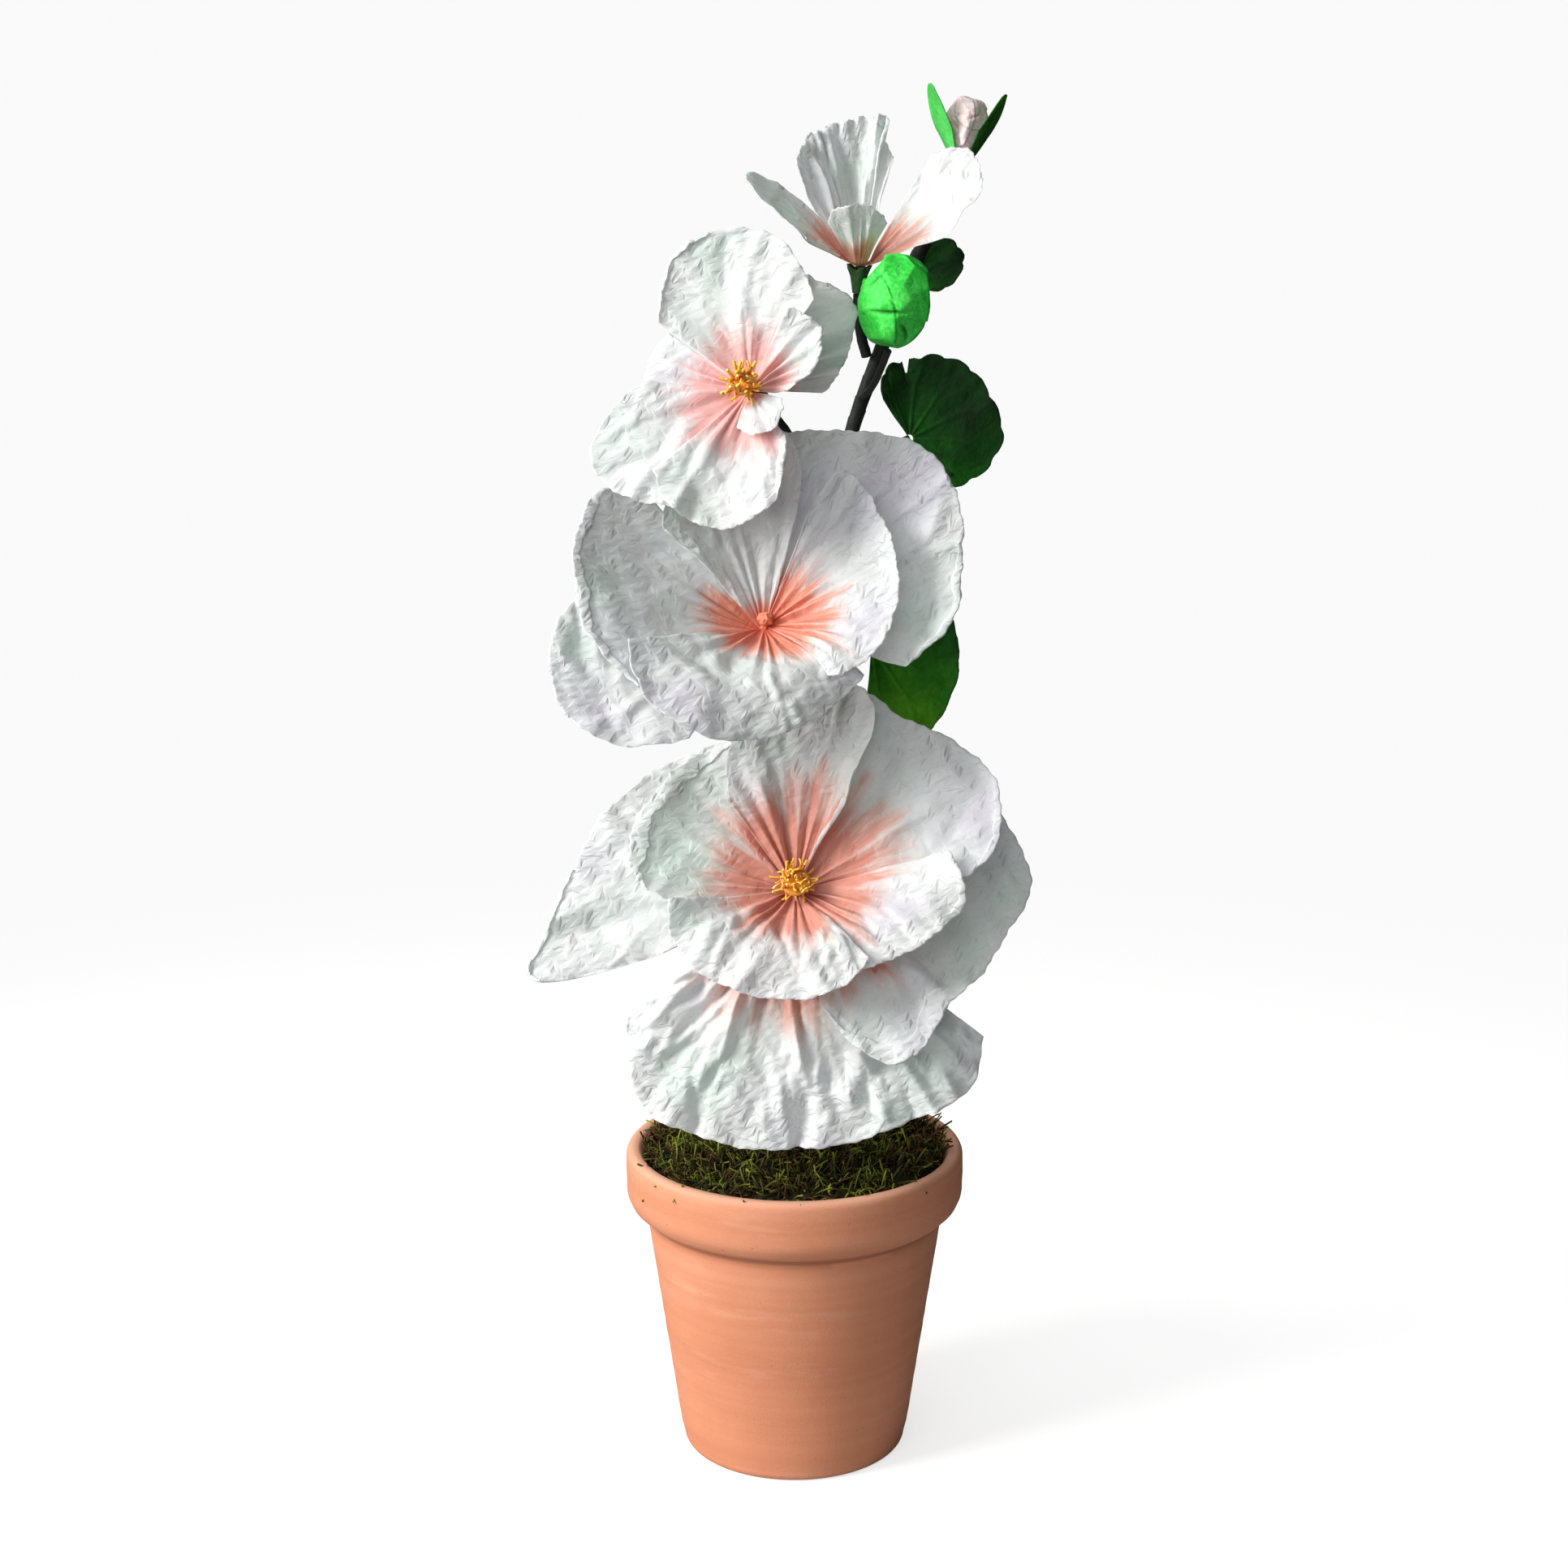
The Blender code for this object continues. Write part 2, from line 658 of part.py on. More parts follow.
def build_leaves(plant):
    for name, leaf in LEAVES.items():
        place, rise, turn = leaf["frame"]
        frame = bloom_empty(f"{name}_frame", place, rise, turn, plant)
        sheet = Fan(0, leaf["clock"], leaf["reach"], leaf["lift"])
        build_fan(name, sheet, leaf["finish"], frame, columns=12, rows=3, start=1.2 * MM)
        height, bearing, middle = leaf["stalk"]
        behind = (place[0], place[1] + LEAF_STALK_RADIUS + 2 * GAP, place[2])
        route = [beside_stem(height, bearing, LEAF_STALK_RADIUS), middle, behind]
        stalk(f"{name}_stalk", route, LEAF_STALK_RADIUS, "stem", plant, count=6)


clear_scene()
parts = new_collection("potted_paper_hollyhock")
new_collection("cutters")
plant = add_empty("plant", CENTRE_SHIFT)
build_pot(plant)
build_plug(plant)
build_moss(plant)
build_stems(plant)
build_blooms(plant)
build_buds(plant)
build_leaves(plant)
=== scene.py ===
import math

import bpy
import numpy as np
from mathutils import Euler, Matrix, Vector


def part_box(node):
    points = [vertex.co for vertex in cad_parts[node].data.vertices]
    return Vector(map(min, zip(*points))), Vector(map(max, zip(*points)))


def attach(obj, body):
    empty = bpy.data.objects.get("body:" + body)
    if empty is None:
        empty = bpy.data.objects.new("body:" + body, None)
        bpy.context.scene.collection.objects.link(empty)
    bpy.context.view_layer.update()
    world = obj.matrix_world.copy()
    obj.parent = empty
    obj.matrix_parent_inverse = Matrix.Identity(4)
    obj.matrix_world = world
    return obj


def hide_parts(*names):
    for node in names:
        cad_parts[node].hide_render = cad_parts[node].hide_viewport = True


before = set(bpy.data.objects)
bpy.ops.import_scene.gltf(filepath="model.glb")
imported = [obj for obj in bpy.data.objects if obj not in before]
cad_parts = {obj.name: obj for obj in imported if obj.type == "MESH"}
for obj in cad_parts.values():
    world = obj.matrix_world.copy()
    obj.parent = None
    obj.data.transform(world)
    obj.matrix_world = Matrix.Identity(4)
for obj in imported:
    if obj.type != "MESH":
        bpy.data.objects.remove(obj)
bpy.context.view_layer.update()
mm = 0.001
body = "root"
potLow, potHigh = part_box("pot")
potAxis = Vector(((potLow[0] + potHigh[0]) / 2, (potLow[1] + potHigh[1]) / 2, potLow[2]))
turnFull = 2 * math.pi


def report(text):
    print("hollyhock:", text)


def addNode(tree, kind, settings=None, sockets=None):
    made = tree.nodes.new(kind)
    for key, value in (settings or {}).items():
        setattr(made, key, value)
    for key, value in (sockets or {}).items():
        if isinstance(value, bpy.types.NodeSocket):
            tree.links.new(value, made.inputs[key])
        else:
            made.inputs[key].default_value = value
    return made


def maths(tree, operation, first, second=0.0, third=0.0):
    return addNode(tree, "ShaderNodeMath", {"operation": operation}, {0: first, 1: second, 2: third}).outputs[0]


def blend(tree, share, low, high, way="MIX"):
    # a colour mix; sockets 6 and 7 are its two colours, and output 2 its result
    made = addNode(tree, "ShaderNodeMix", {"data_type": "RGBA", "blend_type": way}, {0: share, 6: low, 7: high})
    return made.outputs[2]


def ramp(tree, value, stops, smooth=False):
    made = addNode(tree, "ShaderNodeValToRGB", None, {"Fac": value})
    band = made.color_ramp
    band.interpolation = "EASE" if smooth else "LINEAR"
    while len(band.elements) < len(stops):
        band.elements.new(1.0)
    for element, (place, colour) in zip(band.elements, stops):
        element.position = place
        element.color = (*colour, 1.0)
    return made.outputs["Color"]


def noise(tree, vector, scale, detail=3.0, rough=0.5, warp=0.0):
    sockets = {"Vector": vector, "Scale": scale, "Detail": detail, "Roughness": rough, "Distortion": warp}
    return addNode(tree, "ShaderNodeTexNoise", None, sockets).outputs["Fac"]


def levels(tree, value, low, high, newLow=0.0, newHigh=1.0):
    sockets = {"Value": value, "From Min": low, "From Max": high, "To Min": newLow, "To Max": newHigh}
    return addNode(tree, "ShaderNodeMapRange", None, sockets).outputs["Result"]


def stretched(tree, vector, scale, shift=(0.0, 0.0, 0.0)):
    return addNode(tree, "ShaderNodeMapping", None, {"Vector": vector, "Scale": scale, "Location": shift}).outputs[0]


def readAttribute(tree, name, output="Vector"):
    return addNode(tree, "ShaderNodeAttribute", {"attribute_name": name}).outputs[output]


def startGroup(name, sockets, results):
    group = bpy.data.node_groups.new(name, "ShaderNodeTree")
    for label, (kind, value) in sockets.items():
        made = group.interface.new_socket(name=label, in_out="INPUT", socket_type=kind)
        if value is not None:
            made.default_value = value
    for label, kind in results.items():
        group.interface.new_socket(name=label, in_out="OUTPUT", socket_type=kind)
    return group, group.nodes.new("NodeGroupInput"), group.nodes.new("NodeGroupOutput")


def placeGroup(tree, group, sockets):
    made = tree.nodes.new("ShaderNodeGroup")
    made.node_tree = group
    for key, value in sockets.items():
        if isinstance(value, bpy.types.NodeSocket):
            tree.links.new(value, made.inputs[key])
        else:
            made.inputs[key].default_value = value
    return made


def paperCrinkleGroup():
    # crushed paper: straight folds in five directions, each bent where it crosses the ones before; the second result
    # marks the tops of the folds for a painted highlight
    group, given, result = startGroup(
        "paperCrinkle",
        {"Vector": ("NodeSocketVector", None), "Facets": ("NodeSocketFloat", 120.0), "Fibre": ("NodeSocketFloat", 0.05)},
        {"Height": "NodeSocketFloat", "CreaseHighlight": "NodeSocketFloat"},
    )
    vector = given.outputs["Vector"]
    bent = maths(group, "MULTIPLY", noise(group, vector, 55.0, 2.0), 2.4)
    height = maths(group, "MULTIPLY", noise(group, vector, 1500.0, 3.0, 0.6), given.outputs["Fibre"])
    lines = None
    folds = ((0.93, 0.36, 0.7, 1.0), (-0.38, 1.28, 0.9, 0.72), (1.30, -1.32, 1.1, 0.5), (0.40, 2.50, 1.3, 0.34), (3.4, -0.5, 1.7, 0.22))
    for x, y, z, weight in folds:
        along = addNode(group, "ShaderNodeVectorMath", {"operation": "DOT_PRODUCT"}, {0: vector, 1: (x, y, z)}).outputs["Value"]
        place = maths(group, "MULTIPLY_ADD", along, given.outputs["Facets"], bent)
        fold = maths(group, "PINGPONG", place, 0.5)
        height = maths(group, "MULTIPLY_ADD", fold, weight, height)
        bent = maths(group, "MULTIPLY_ADD", fold, 1.3, bent)
        paintedHighlight = levels(group, fold, 0.455, 0.5)
        lines = paintedHighlight if lines is None else maths(group, "MAXIMUM", lines, maths(group, "MULTIPLY", paintedHighlight, weight))
    group.links.new(height, result.inputs["Height"])
    group.links.new(lines, result.inputs["CreaseHighlight"])
    return group


def mottleGroup():
    # soft patches with finer flecks inside them
    group, given, result = startGroup(
        "mottle",
        {"Vector": ("NodeSocketVector", None), "Patch": ("NodeSocketFloat", 60.0), "Fleck": ("NodeSocketFloat", 700.0), "Share": ("NodeSocketFloat", 0.4)},
        {"Mask": "NodeSocketFloat"},
    )
    vector = given.outputs["Vector"]
    patch = addNode(group, "ShaderNodeTexNoise", None, {"Vector": vector, "Scale": given.outputs["Patch"], "Detail": 4.0, "Roughness": 0.6})
    fleck = addNode(group, "ShaderNodeTexNoise", None, {"Vector": vector, "Scale": given.outputs["Fleck"], "Detail": 2.0})
    mixed = addNode(group, "ShaderNodeMix", {"data_type": "FLOAT"}, {0: given.outputs["Share"], 2: patch.outputs["Fac"], 3: fleck.outputs["Fac"]})
    mask = levels(group, mixed.outputs[0], 0.34, 0.66)
    group.links.new(mask, result.inputs["Mask"])
    return group


paperCrinkle = paperCrinkleGroup()
mottle = mottleGroup()


def startMaterial(name):
    made = bpy.data.materials.new(name)
    made.use_nodes = True
    tree = made.node_tree
    shader = tree.nodes["Principled BSDF"]
    return made, tree, shader


def addBump(tree, height, strength, distance, *shaders):
    bump = addNode(tree, "ShaderNodeBump", None, {"Height": height, "Strength": strength, "Distance": distance})
    for shader in shaders:
        tree.links.new(bump.outputs["Normal"], shader.inputs["Normal"])


tissueLook = {
    "bright": (0.93, 0.955, 0.96, 1.0),
    # grey that mottles the paper at random and also stands in as painted shade where tone is low
    "mottleAndShadeGrey": (0.70, 0.655, 0.60, 1.0),
    "mint": (0.80, 0.93, 0.86, 1.0),
    "lavender": (0.88, 0.85, 0.95, 1.0),
    # painted highlight colour for pleat ridges, crease lines, cut edges and doubled hems
    "fold": (0.98, 0.99, 0.99, 1.0),
    "facets": 105.0,
    "through": 0.46,  # share of the light that passes through the sheet
}


def tissueMaterial(name, core, mid, pale, dyeEdge=1.04):
    # polar holds clock, distance and the share of the dyed heart; marks holds fold, edge and double, which paint shade
    # into pleat valleys and paint highlight on ridges, cut edges and doubled hems;
    # tone holds how cool the paper is (low tone paints it grey as shade), how crushed it is, and where the dye stops
    made, tree, shader = startMaterial(name)
    flat = readAttribute(tree, "flat")
    polar = readAttribute(tree, "polar")
    marks = addNode(tree, "ShaderNodeSeparateXYZ", None, {0: readAttribute(tree, "marks")})
    tone = addNode(tree, "ShaderNodeSeparateXYZ", None, {0: readAttribute(tree, "tone")})
    parts = addNode(tree, "ShaderNodeSeparateXYZ", None, {0: polar})
    streaks = noise(tree, stretched(tree, polar, (5.0, 0.35, 0.0)), 1.0, 3.0, 0.6)
    fineStreaks = noise(tree, stretched(tree, polar, (19.0, 0.6, 0.0)), 1.0, 2.0, 0.6)
    bleed = noise(tree, flat, 75.0, 4.0, 0.6)
    share = maths(tree, "MULTIPLY_ADD", maths(tree, "SUBTRACT", streaks, 0.5), 1.1, parts.outputs["Z"])
    share = maths(tree, "MULTIPLY_ADD", maths(tree, "SUBTRACT", fineStreaks, 0.5), 0.35, share)
    share = maths(tree, "MULTIPLY_ADD", maths(tree, "SUBTRACT", bleed, 0.5), 0.25, share)
    dye = ramp(tree, share, [(0.0, core), (0.30, mid), (0.62, mid), (0.95, pale)])
    dyed = addNode(tree, "ShaderNodeMapRange", {"interpolation_type": "SMOOTHSTEP"}, {"Value": share, "From Min": dyeEdge, "From Max": dyeEdge - 0.52})
    dyed = maths(tree, "MULTIPLY", dyed.outputs["Result"], maths(tree, "SUBTRACT", 1.0, tone.outputs["Z"]))
    patches = placeGroup(tree, mottle, {"Vector": flat, "Patch": 60.0, "Fleck": 800.0, "Share": 0.3}).outputs["Mask"]
    crinkle = placeGroup(tree, paperCrinkle, {"Vector": flat, "Facets": tissueLook["facets"], "Fibre": 0.05})
    # the grey mix follows tone, which paints shade when low, and the random patches
    cool = maths(tree, "MULTIPLY_ADD", maths(tree, "SUBTRACT", patches, 0.5), 0.22, tone.outputs["X"])
    tint = noise(tree, stretched(tree, flat, (1.0, 1.0, 1.0), (0.3, 0.1, 0.0)), 26.0, 2.0)
    tinted = ramp(tree, tint, [(0.34, tissueLook["mint"][:3]), (0.48, tissueLook["bright"][:3]), (0.56, tissueLook["bright"][:3]), (0.68, tissueLook["lavender"][:3])])
    plain = blend(tree, 0.55, tissueLook["bright"], tinted)
    colour = blend(tree, cool, tissueLook["mottleAndShadeGrey"], plain)
    colour = blend(tree, dyed, colour, dye)
    # painted shade darkens the pleat valleys; painted highlight whitens pleat ridges, crease lines, cut edges and
    # doubled hems
    paintedValleyShade = levels(tree, marks.outputs["X"], 0.0, 0.5, 0.80, 1.0)
    shaded = addNode(tree, "ShaderNodeCombineColor", None, {0: paintedValleyShade, 1: paintedValleyShade, 2: paintedValleyShade}).outputs[0]
    colour = blend(tree, 1.0, colour, shaded, "MULTIPLY")
    paintedCreaseHighlight = maths(tree, "MULTIPLY", maths(tree, "MULTIPLY", crinkle.outputs["CreaseHighlight"], tone.outputs["Y"]), 0.28)
    paintedHighlight = maths(tree, "MULTIPLY_ADD", levels(tree, marks.outputs["X"], 0.70, 1.0), 0.30, paintedCreaseHighlight)
    paintedHighlight = maths(tree, "MULTIPLY_ADD", marks.outputs["Y"], 0.30, paintedHighlight)
    paintedHighlight = maths(tree, "MULTIPLY_ADD", marks.outputs["Z"], 0.38, paintedHighlight)
    colour = blend(tree, maths(tree, "MINIMUM", paintedHighlight, 0.75), colour, tissueLook["fold"])
    tree.links.new(colour, shader.inputs["Base Color"])
    tree.links.new(levels(tree, patches, 0.0, 1.0, 0.60, 0.40), shader.inputs["Roughness"])
    shader.inputs["Specular IOR Level"].default_value = 0.4
    through = addNode(tree, "ShaderNodeBsdfTranslucent", None, {"Color": colour})
    height = maths(tree, "MULTIPLY", crinkle.outputs["Height"], tone.outputs["Y"])
    addBump(tree, height, 0.8, 0.0012, shader, through)
    mixed = addNode(tree, "ShaderNodeMixShader", None, {0: tissueLook["through"]})
    tree.links.new(shader.outputs[0], mixed.inputs[1])
    tree.links.new(through.outputs[0], mixed.inputs[2])
    tree.links.new(mixed.outputs[0], tree.nodes["Material Output"].inputs["Surface"])
    return made


def leafMaterial(name, dark, mid, light, spot):
    made, tree, shader = startMaterial(name)
    flat = readAttribute(tree, "flat")
    polar = addNode(tree, "ShaderNodeSeparateXYZ", None, {0: readAttribute(tree, "polar")})
    marks = addNode(tree, "ShaderNodeSeparateXYZ", None, {0: readAttribute(tree, "marks")})
    patches = placeGroup(tree, mottle, {"Vector": flat, "Patch": 90.0, "Fleck": 520.0, "Share": 0.35}).outputs["Mask"]
    slow = noise(tree, flat, 30.0, 3.0, 0.55)
    # the paper pales towards the lower edge of the leaf
    fall = levels(tree, polar.outputs["X"], 1.3, 2.7, -0.12, 0.30)
    fall = maths(tree, "MULTIPLY", fall, levels(tree, polar.outputs["Y"], 0.6, 2.2))
    share = maths(tree, "MULTIPLY_ADD", patches, 0.22, maths(tree, "MULTIPLY_ADD", slow, 0.75, fall))
    colour = ramp(tree, share, [(0.30, dark), (0.52, mid), (0.80, light)])
    spots = addNode(tree, "ShaderNodeTexVoronoi", None, {"Vector": flat, "Scale": 190.0, "Randomness": 1.0})
    dots = maths(tree, "MULTIPLY", levels(tree, spots.outputs["Distance"], 0.24, 0.10), levels(tree, noise(tree, flat, 60.0), 0.52, 0.62))
    colour = blend(tree, dots, colour, (*spot, 1.0))
    colour = blend(tree, maths(tree, "MULTIPLY", marks.outputs["X"], 0.10), colour, (*light, 1.0))
    colour = blend(tree, maths(tree, "MULTIPLY", marks.outputs["Y"], 0.35), colour, (*dark, 1.0))
    tree.links.new(colour, shader.inputs["Base Color"])
    tree.links.new(levels(tree, patches, 0.0, 1.0, 0.55, 0.8), shader.inputs["Roughness"])
    shader.inputs["Specular IOR Level"].default_value = 0.3
    crinkle = placeGroup(tree, paperCrinkle, {"Vector": flat, "Facets": 150.0, "Fibre": 0.3})
    addBump(tree, crinkle.outputs["Height"], 0.3, 0.0005, shader)
    return made


def budMaterial(name, low, mid, high, crease):
    # reads Object coordinates; marks.x is the depth of the folds, which is darkened to the crease colour as painted
    # shade
    made, tree, shader = startMaterial(name)
    place = addNode(tree, "ShaderNodeTexCoord").outputs["Object"]
    marks = addNode(tree, "ShaderNodeSeparateXYZ", None, {0: readAttribute(tree, "marks")})
    patches = placeGroup(tree, mottle, {"Vector": place, "Patch": 110.0, "Fleck": 900.0, "Share": 0.35}).outputs["Mask"]
    colour = ramp(tree, patches, [(0.0, low), (0.5, mid), (1.0, high)])
    flecks = addNode(tree, "ShaderNodeTexVoronoi", None, {"Vector": place, "Scale": 420.0})
    dots = maths(tree, "MULTIPLY", levels(tree, flecks.outputs["Distance"], 0.22, 0.10), levels(tree, noise(tree, place, 120.0), 0.55, 0.65))
    colour = blend(tree, dots, colour, (*crease, 1.0))
    # painted shade: the fold depths take the crease colour
    colour = blend(tree, levels(tree, marks.outputs["X"], 0.2, 0.9), colour, (*crease, 1.0))
    tree.links.new(colour, shader.inputs["Base Color"])
    tree.links.new(levels(tree, patches, 0.0, 1.0, 0.5, 0.72), shader.inputs["Roughness"])
    crinkle = placeGroup(tree, paperCrinkle, {"Vector": place, "Facets": 170.0, "Fibre": 0.2})
    addBump(tree, crinkle.outputs["Height"], 0.4, 0.0007, shader)
    return made


def terracottaMaterial():
    made, tree, shader = startMaterial("terracotta")
    place = addNode(tree, "ShaderNodeTexCoord").outputs["Object"]
    rings = noise(tree, stretched(tree, place, (3.0, 3.0, 190.0)), 1.0, 4.0, 0.55)
    wide = noise(tree, stretched(tree, place, (7.0, 7.0, 34.0)), 1.0, 3.0, 0.55)
    patches = placeGroup(tree, mottle, {"Vector": place, "Patch": 26.0, "Fleck": 1500.0, "Share": 0.3}).outputs["Mask"]
    mixed = maths(tree, "MULTIPLY_ADD", rings, 0.35, maths(tree, "MULTIPLY_ADD", wide, 0.55, maths(tree, "MULTIPLY", patches, 0.12)))
    colour = ramp(tree, mixed, [(0.28, (0.50, 0.185, 0.095)), (0.52, (0.61, 0.245, 0.135)), (0.78, (0.72, 0.345, 0.215))])
    lime = maths(tree, "MULTIPLY", levels(tree, noise(tree, stretched(tree, place, (9.0, 9.0, 60.0)), 1.0, 5.0, 0.7), 0.56, 0.72), 0.35)
    colour = blend(tree, lime, colour, (0.80, 0.50, 0.36, 1.0))
    pits = addNode(tree, "ShaderNodeTexVoronoi", None, {"Vector": place, "Scale": 520.0})
    pit = maths(tree, "MULTIPLY", levels(tree, pits.outputs["Distance"], 0.17, 0.05), levels(tree, noise(tree, place, 150.0), 0.56, 0.66))
    colour = blend(tree, maths(tree, "MULTIPLY", pit, 0.55), colour, (0.26, 0.10, 0.05, 1.0))
    # painted shade darkens the crease under the rim band; painted highlight lightens the rounded top of the rim
    marks = addNode(tree, "ShaderNodeSeparateXYZ", None, {0: readAttribute(tree, "marks")})
    colour = blend(tree, maths(tree, "MULTIPLY", marks.outputs["X"], 0.65), colour, (0.25, 0.07, 0.03, 1.0))
    colour = blend(tree, maths(tree, "MULTIPLY", marks.outputs["Y"], 0.45), colour, (0.82, 0.50, 0.36, 1.0))
    tree.links.new(colour, shader.inputs["Base Color"])
    tree.links.new(levels(tree, patches, 0.0, 1.0, 0.72, 0.92), shader.inputs["Roughness"])
    shader.inputs["Specular IOR Level"].default_value = 0.25
    grain = noise(tree, place, 1300.0, 4.0, 0.65)
    height = maths(tree, "MULTIPLY_ADD", rings, 1.6, grain)
    height = maths(tree, "MULTIPLY_ADD", pit, -1.2, height)
    addBump(tree, height, 0.30, 0.00035, shader)
    return made


def mossMaterial():
    # strand holds how far along it a point is, tint a random share for each strand
    made, tree, shader = startMaterial("moss")
    place = addNode(tree, "ShaderNodeTexCoord").outputs["Object"]
    strand = readAttribute(tree, "strand", "Fac")
    tint = readAttribute(tree, "tint", "Fac")
    patches = noise(tree, place, 85.0, 3.0, 0.6)
    kind = maths(tree, "MULTIPLY_ADD", tint, 0.45, maths(tree, "MULTIPLY_ADD", patches, 1.3, -0.42))
    tips = ramp(tree, kind, [(0.12, (0.030, 0.010, 0.003)), (0.34, (0.085, 0.040, 0.008)), (0.52, (0.075, 0.085, 0.010)), (0.70, (0.20, 0.24, 0.018)), (0.9, (0.42, 0.46, 0.07))])
    colour = blend(tree, levels(tree, strand, 0.05, 0.85), (0.006, 0.007, 0.002, 1.0), tips)
    tree.links.new(colour, shader.inputs["Base Color"])
    tree.links.new(levels(tree, patches, 0.3, 0.7, 0.95, 0.7), shader.inputs["Roughness"])
    shader.inputs["Specular IOR Level"].default_value = 0.2
    addBump(tree, noise(tree, place, 900.0, 3.0), 0.4, 0.0005, shader)
    return made


def tapeMaterial(name, dark, light):
    # wrap holds the turn of the tape and the distance along the stem
    made, tree, shader = startMaterial(name)
    wrap = readAttribute(tree, "wrap")
    place = addNode(tree, "ShaderNodeTexCoord").outputs["Object"]
    turns = addNode(tree, "ShaderNodeSeparateXYZ", None, {0: wrap})
    worn = noise(tree, place, 260.0, 4.0, 0.65)
    lap = levels(tree, turns.outputs["X"], 0.86, 1.0)
    share = maths(tree, "MULTIPLY_ADD", lap, 0.5, levels(tree, worn, 0.42, 0.75, 0.0, 0.5))
    tree.links.new(blend(tree, share, (*dark, 1.0), (*light, 1.0)), shader.inputs["Base Color"])
    tree.links.new(levels(tree, worn, 0.3, 0.7, 0.5, 0.8), shader.inputs["Roughness"])
    creases = noise(tree, stretched(tree, place, (900.0, 900.0, 260.0)), 1.0, 3.0)
    addBump(tree, maths(tree, "MULTIPLY_ADD", lap, 0.6, creases), 0.5, 0.0003, shader)
    return made


def grainMaterial(name, dark, light, scale, rough, bump):
    # a plain stock: paper, foam or core, in two tones with a fine grain
    made, tree, shader = startMaterial(name)
    place = addNode(tree, "ShaderNodeTexCoord").outputs["Object"]
    patches = placeGroup(tree, mottle, {"Vector": place, "Patch": scale, "Fleck": scale * 9, "Share": 0.4}).outputs["Mask"]
    tree.links.new(blend(tree, patches, (*dark, 1.0), (*light, 1.0)), shader.inputs["Base Color"])
    tree.links.new(levels(tree, patches, 0.0, 1.0, rough - 0.12, rough), shader.inputs["Roughness"])
    crinkle = placeGroup(tree, paperCrinkle, {"Vector": place, "Facets": scale * 2, "Fibre": 0.3})
    addBump(tree, crinkle.outputs["Height"], bump, 0.0005, shader)
    return made


def stamenMaterial():
    made, tree, shader = startMaterial("stamen")
    strand = readAttribute(tree, "strand", "Fac")
    tint = readAttribute(tree, "tint", "Fac")
    shade = ramp(tree, tint, [(0.0, (0.55, 0.27, 0.015)), (0.3, (0.88, 0.48, 0.03)), (0.7, (0.95, 0.66, 0.08)), (1.0, (0.98, 0.84, 0.30))])
    colour = blend(tree, levels(tree, strand, 0.0, 0.8), (0.80, 0.24, 0.05, 1.0), shade)
    dots = maths(tree, "MULTIPLY", levels(tree, strand, 0.9, 0.95), levels(tree, tint, 0.10, 0.06))
    colour = blend(tree, dots, colour, (0.10, 0.04, 0.01, 1.0))
    tree.links.new(colour, shader.inputs["Base Color"])
    shader.inputs["Roughness"].default_value = 0.75
    place = addNode(tree, "ShaderNodeTexCoord").outputs["Object"]
    addBump(tree, noise(tree, place, 2500.0, 2.0), 0.4, 0.0002, shader)
    return made


finishes = {
    "bottomTissue": tissueMaterial("bottom_tissue", (0.66, 0.20, 0.11), (0.88, 0.43, 0.33), (0.92, 0.66, 0.58)),
    "middleTissue": tissueMaterial("middle_tissue", (0.86, 0.17, 0.07), (0.95, 0.42, 0.29), (0.95, 0.76, 0.70)),
    "upperTissue": tissueMaterial("upper_tissue", (0.95, 0.42, 0.30), (0.96, 0.60, 0.57), (0.96, 0.80, 0.79)),
    "topTissue": tissueMaterial("top_tissue", (0.74, 0.22, 0.11), (0.90, 0.48, 0.37), (0.92, 0.74, 0.68)),
    "darkLeaf": leafMaterial("dark_leaf", (0.001, 0.026, 0.001), (0.002, 0.070, 0.002), (0.020, 0.210, 0.004), (0.004, 0.018, 0.001)),
    "brightLeaf": leafMaterial("bright_leaf", (0.002, 0.080, 0.001), (0.020, 0.190, 0.002), (0.085, 0.330, 0.004), (0.003, 0.050, 0.001)),
    "greenSepal": leafMaterial("green_sepal", (0.05, 0.42, 0.06), (0.10, 0.62, 0.12), (0.28, 0.85, 0.30), (0.02, 0.20, 0.02)),
    "greenPaper": budMaterial("green_paper", (0.012, 0.52, 0.030), (0.035, 0.72, 0.060), (0.13, 0.95, 0.14), (0.004, 0.16, 0.006)),
    "pinkBud": budMaterial("pink_bud", (0.62, 0.44, 0.42), (0.80, 0.66, 0.64), (0.93, 0.87, 0.84), (0.42, 0.20, 0.17)),
    "terracotta": terracottaMaterial(),
    "moss": mossMaterial(),
    "stem": tapeMaterial("stem_tape", (0.0035, 0.0065, 0.0035), (0.022, 0.040, 0.020)),
    "calyx": grainMaterial("calyx_paper", (0.006, 0.030, 0.006), (0.030, 0.100, 0.022), 130.0, 0.82, 0.5),
    "coral": grainMaterial("coral_core", (0.70, 0.14, 0.06), (0.95, 0.38, 0.24), 160.0, 0.85, 0.5),
    "foam": grainMaterial("florist_foam", (0.05, 0.12, 0.05), (0.11, 0.24, 0.10), 220.0, 0.98, 0.7),
    "stamen": stamenMaterial(),
}
report("materials made")


def spline(values, at):
    # Catmull-Rom curve through evenly spaced values, read at 0..1
    knots = np.asarray(values, float)
    last = len(knots) - 1
    place = np.clip(at, 0.0, 1.0) * last
    index = np.minimum(place.astype(int), last - 1)
    f = place - index
    padded = np.concatenate([[2 * knots[0] - knots[1]], knots, [2 * knots[-1] - knots[-2]]])
    a, b, c, d = padded[index], padded[index + 1], padded[index + 2], padded[index + 3]
    return 0.5 * (2 * b + (c - a) * f + (2 * a - 5 * b + 4 * c - d) * f**2 + (3 * b - a - 3 * c + d) * f**3)


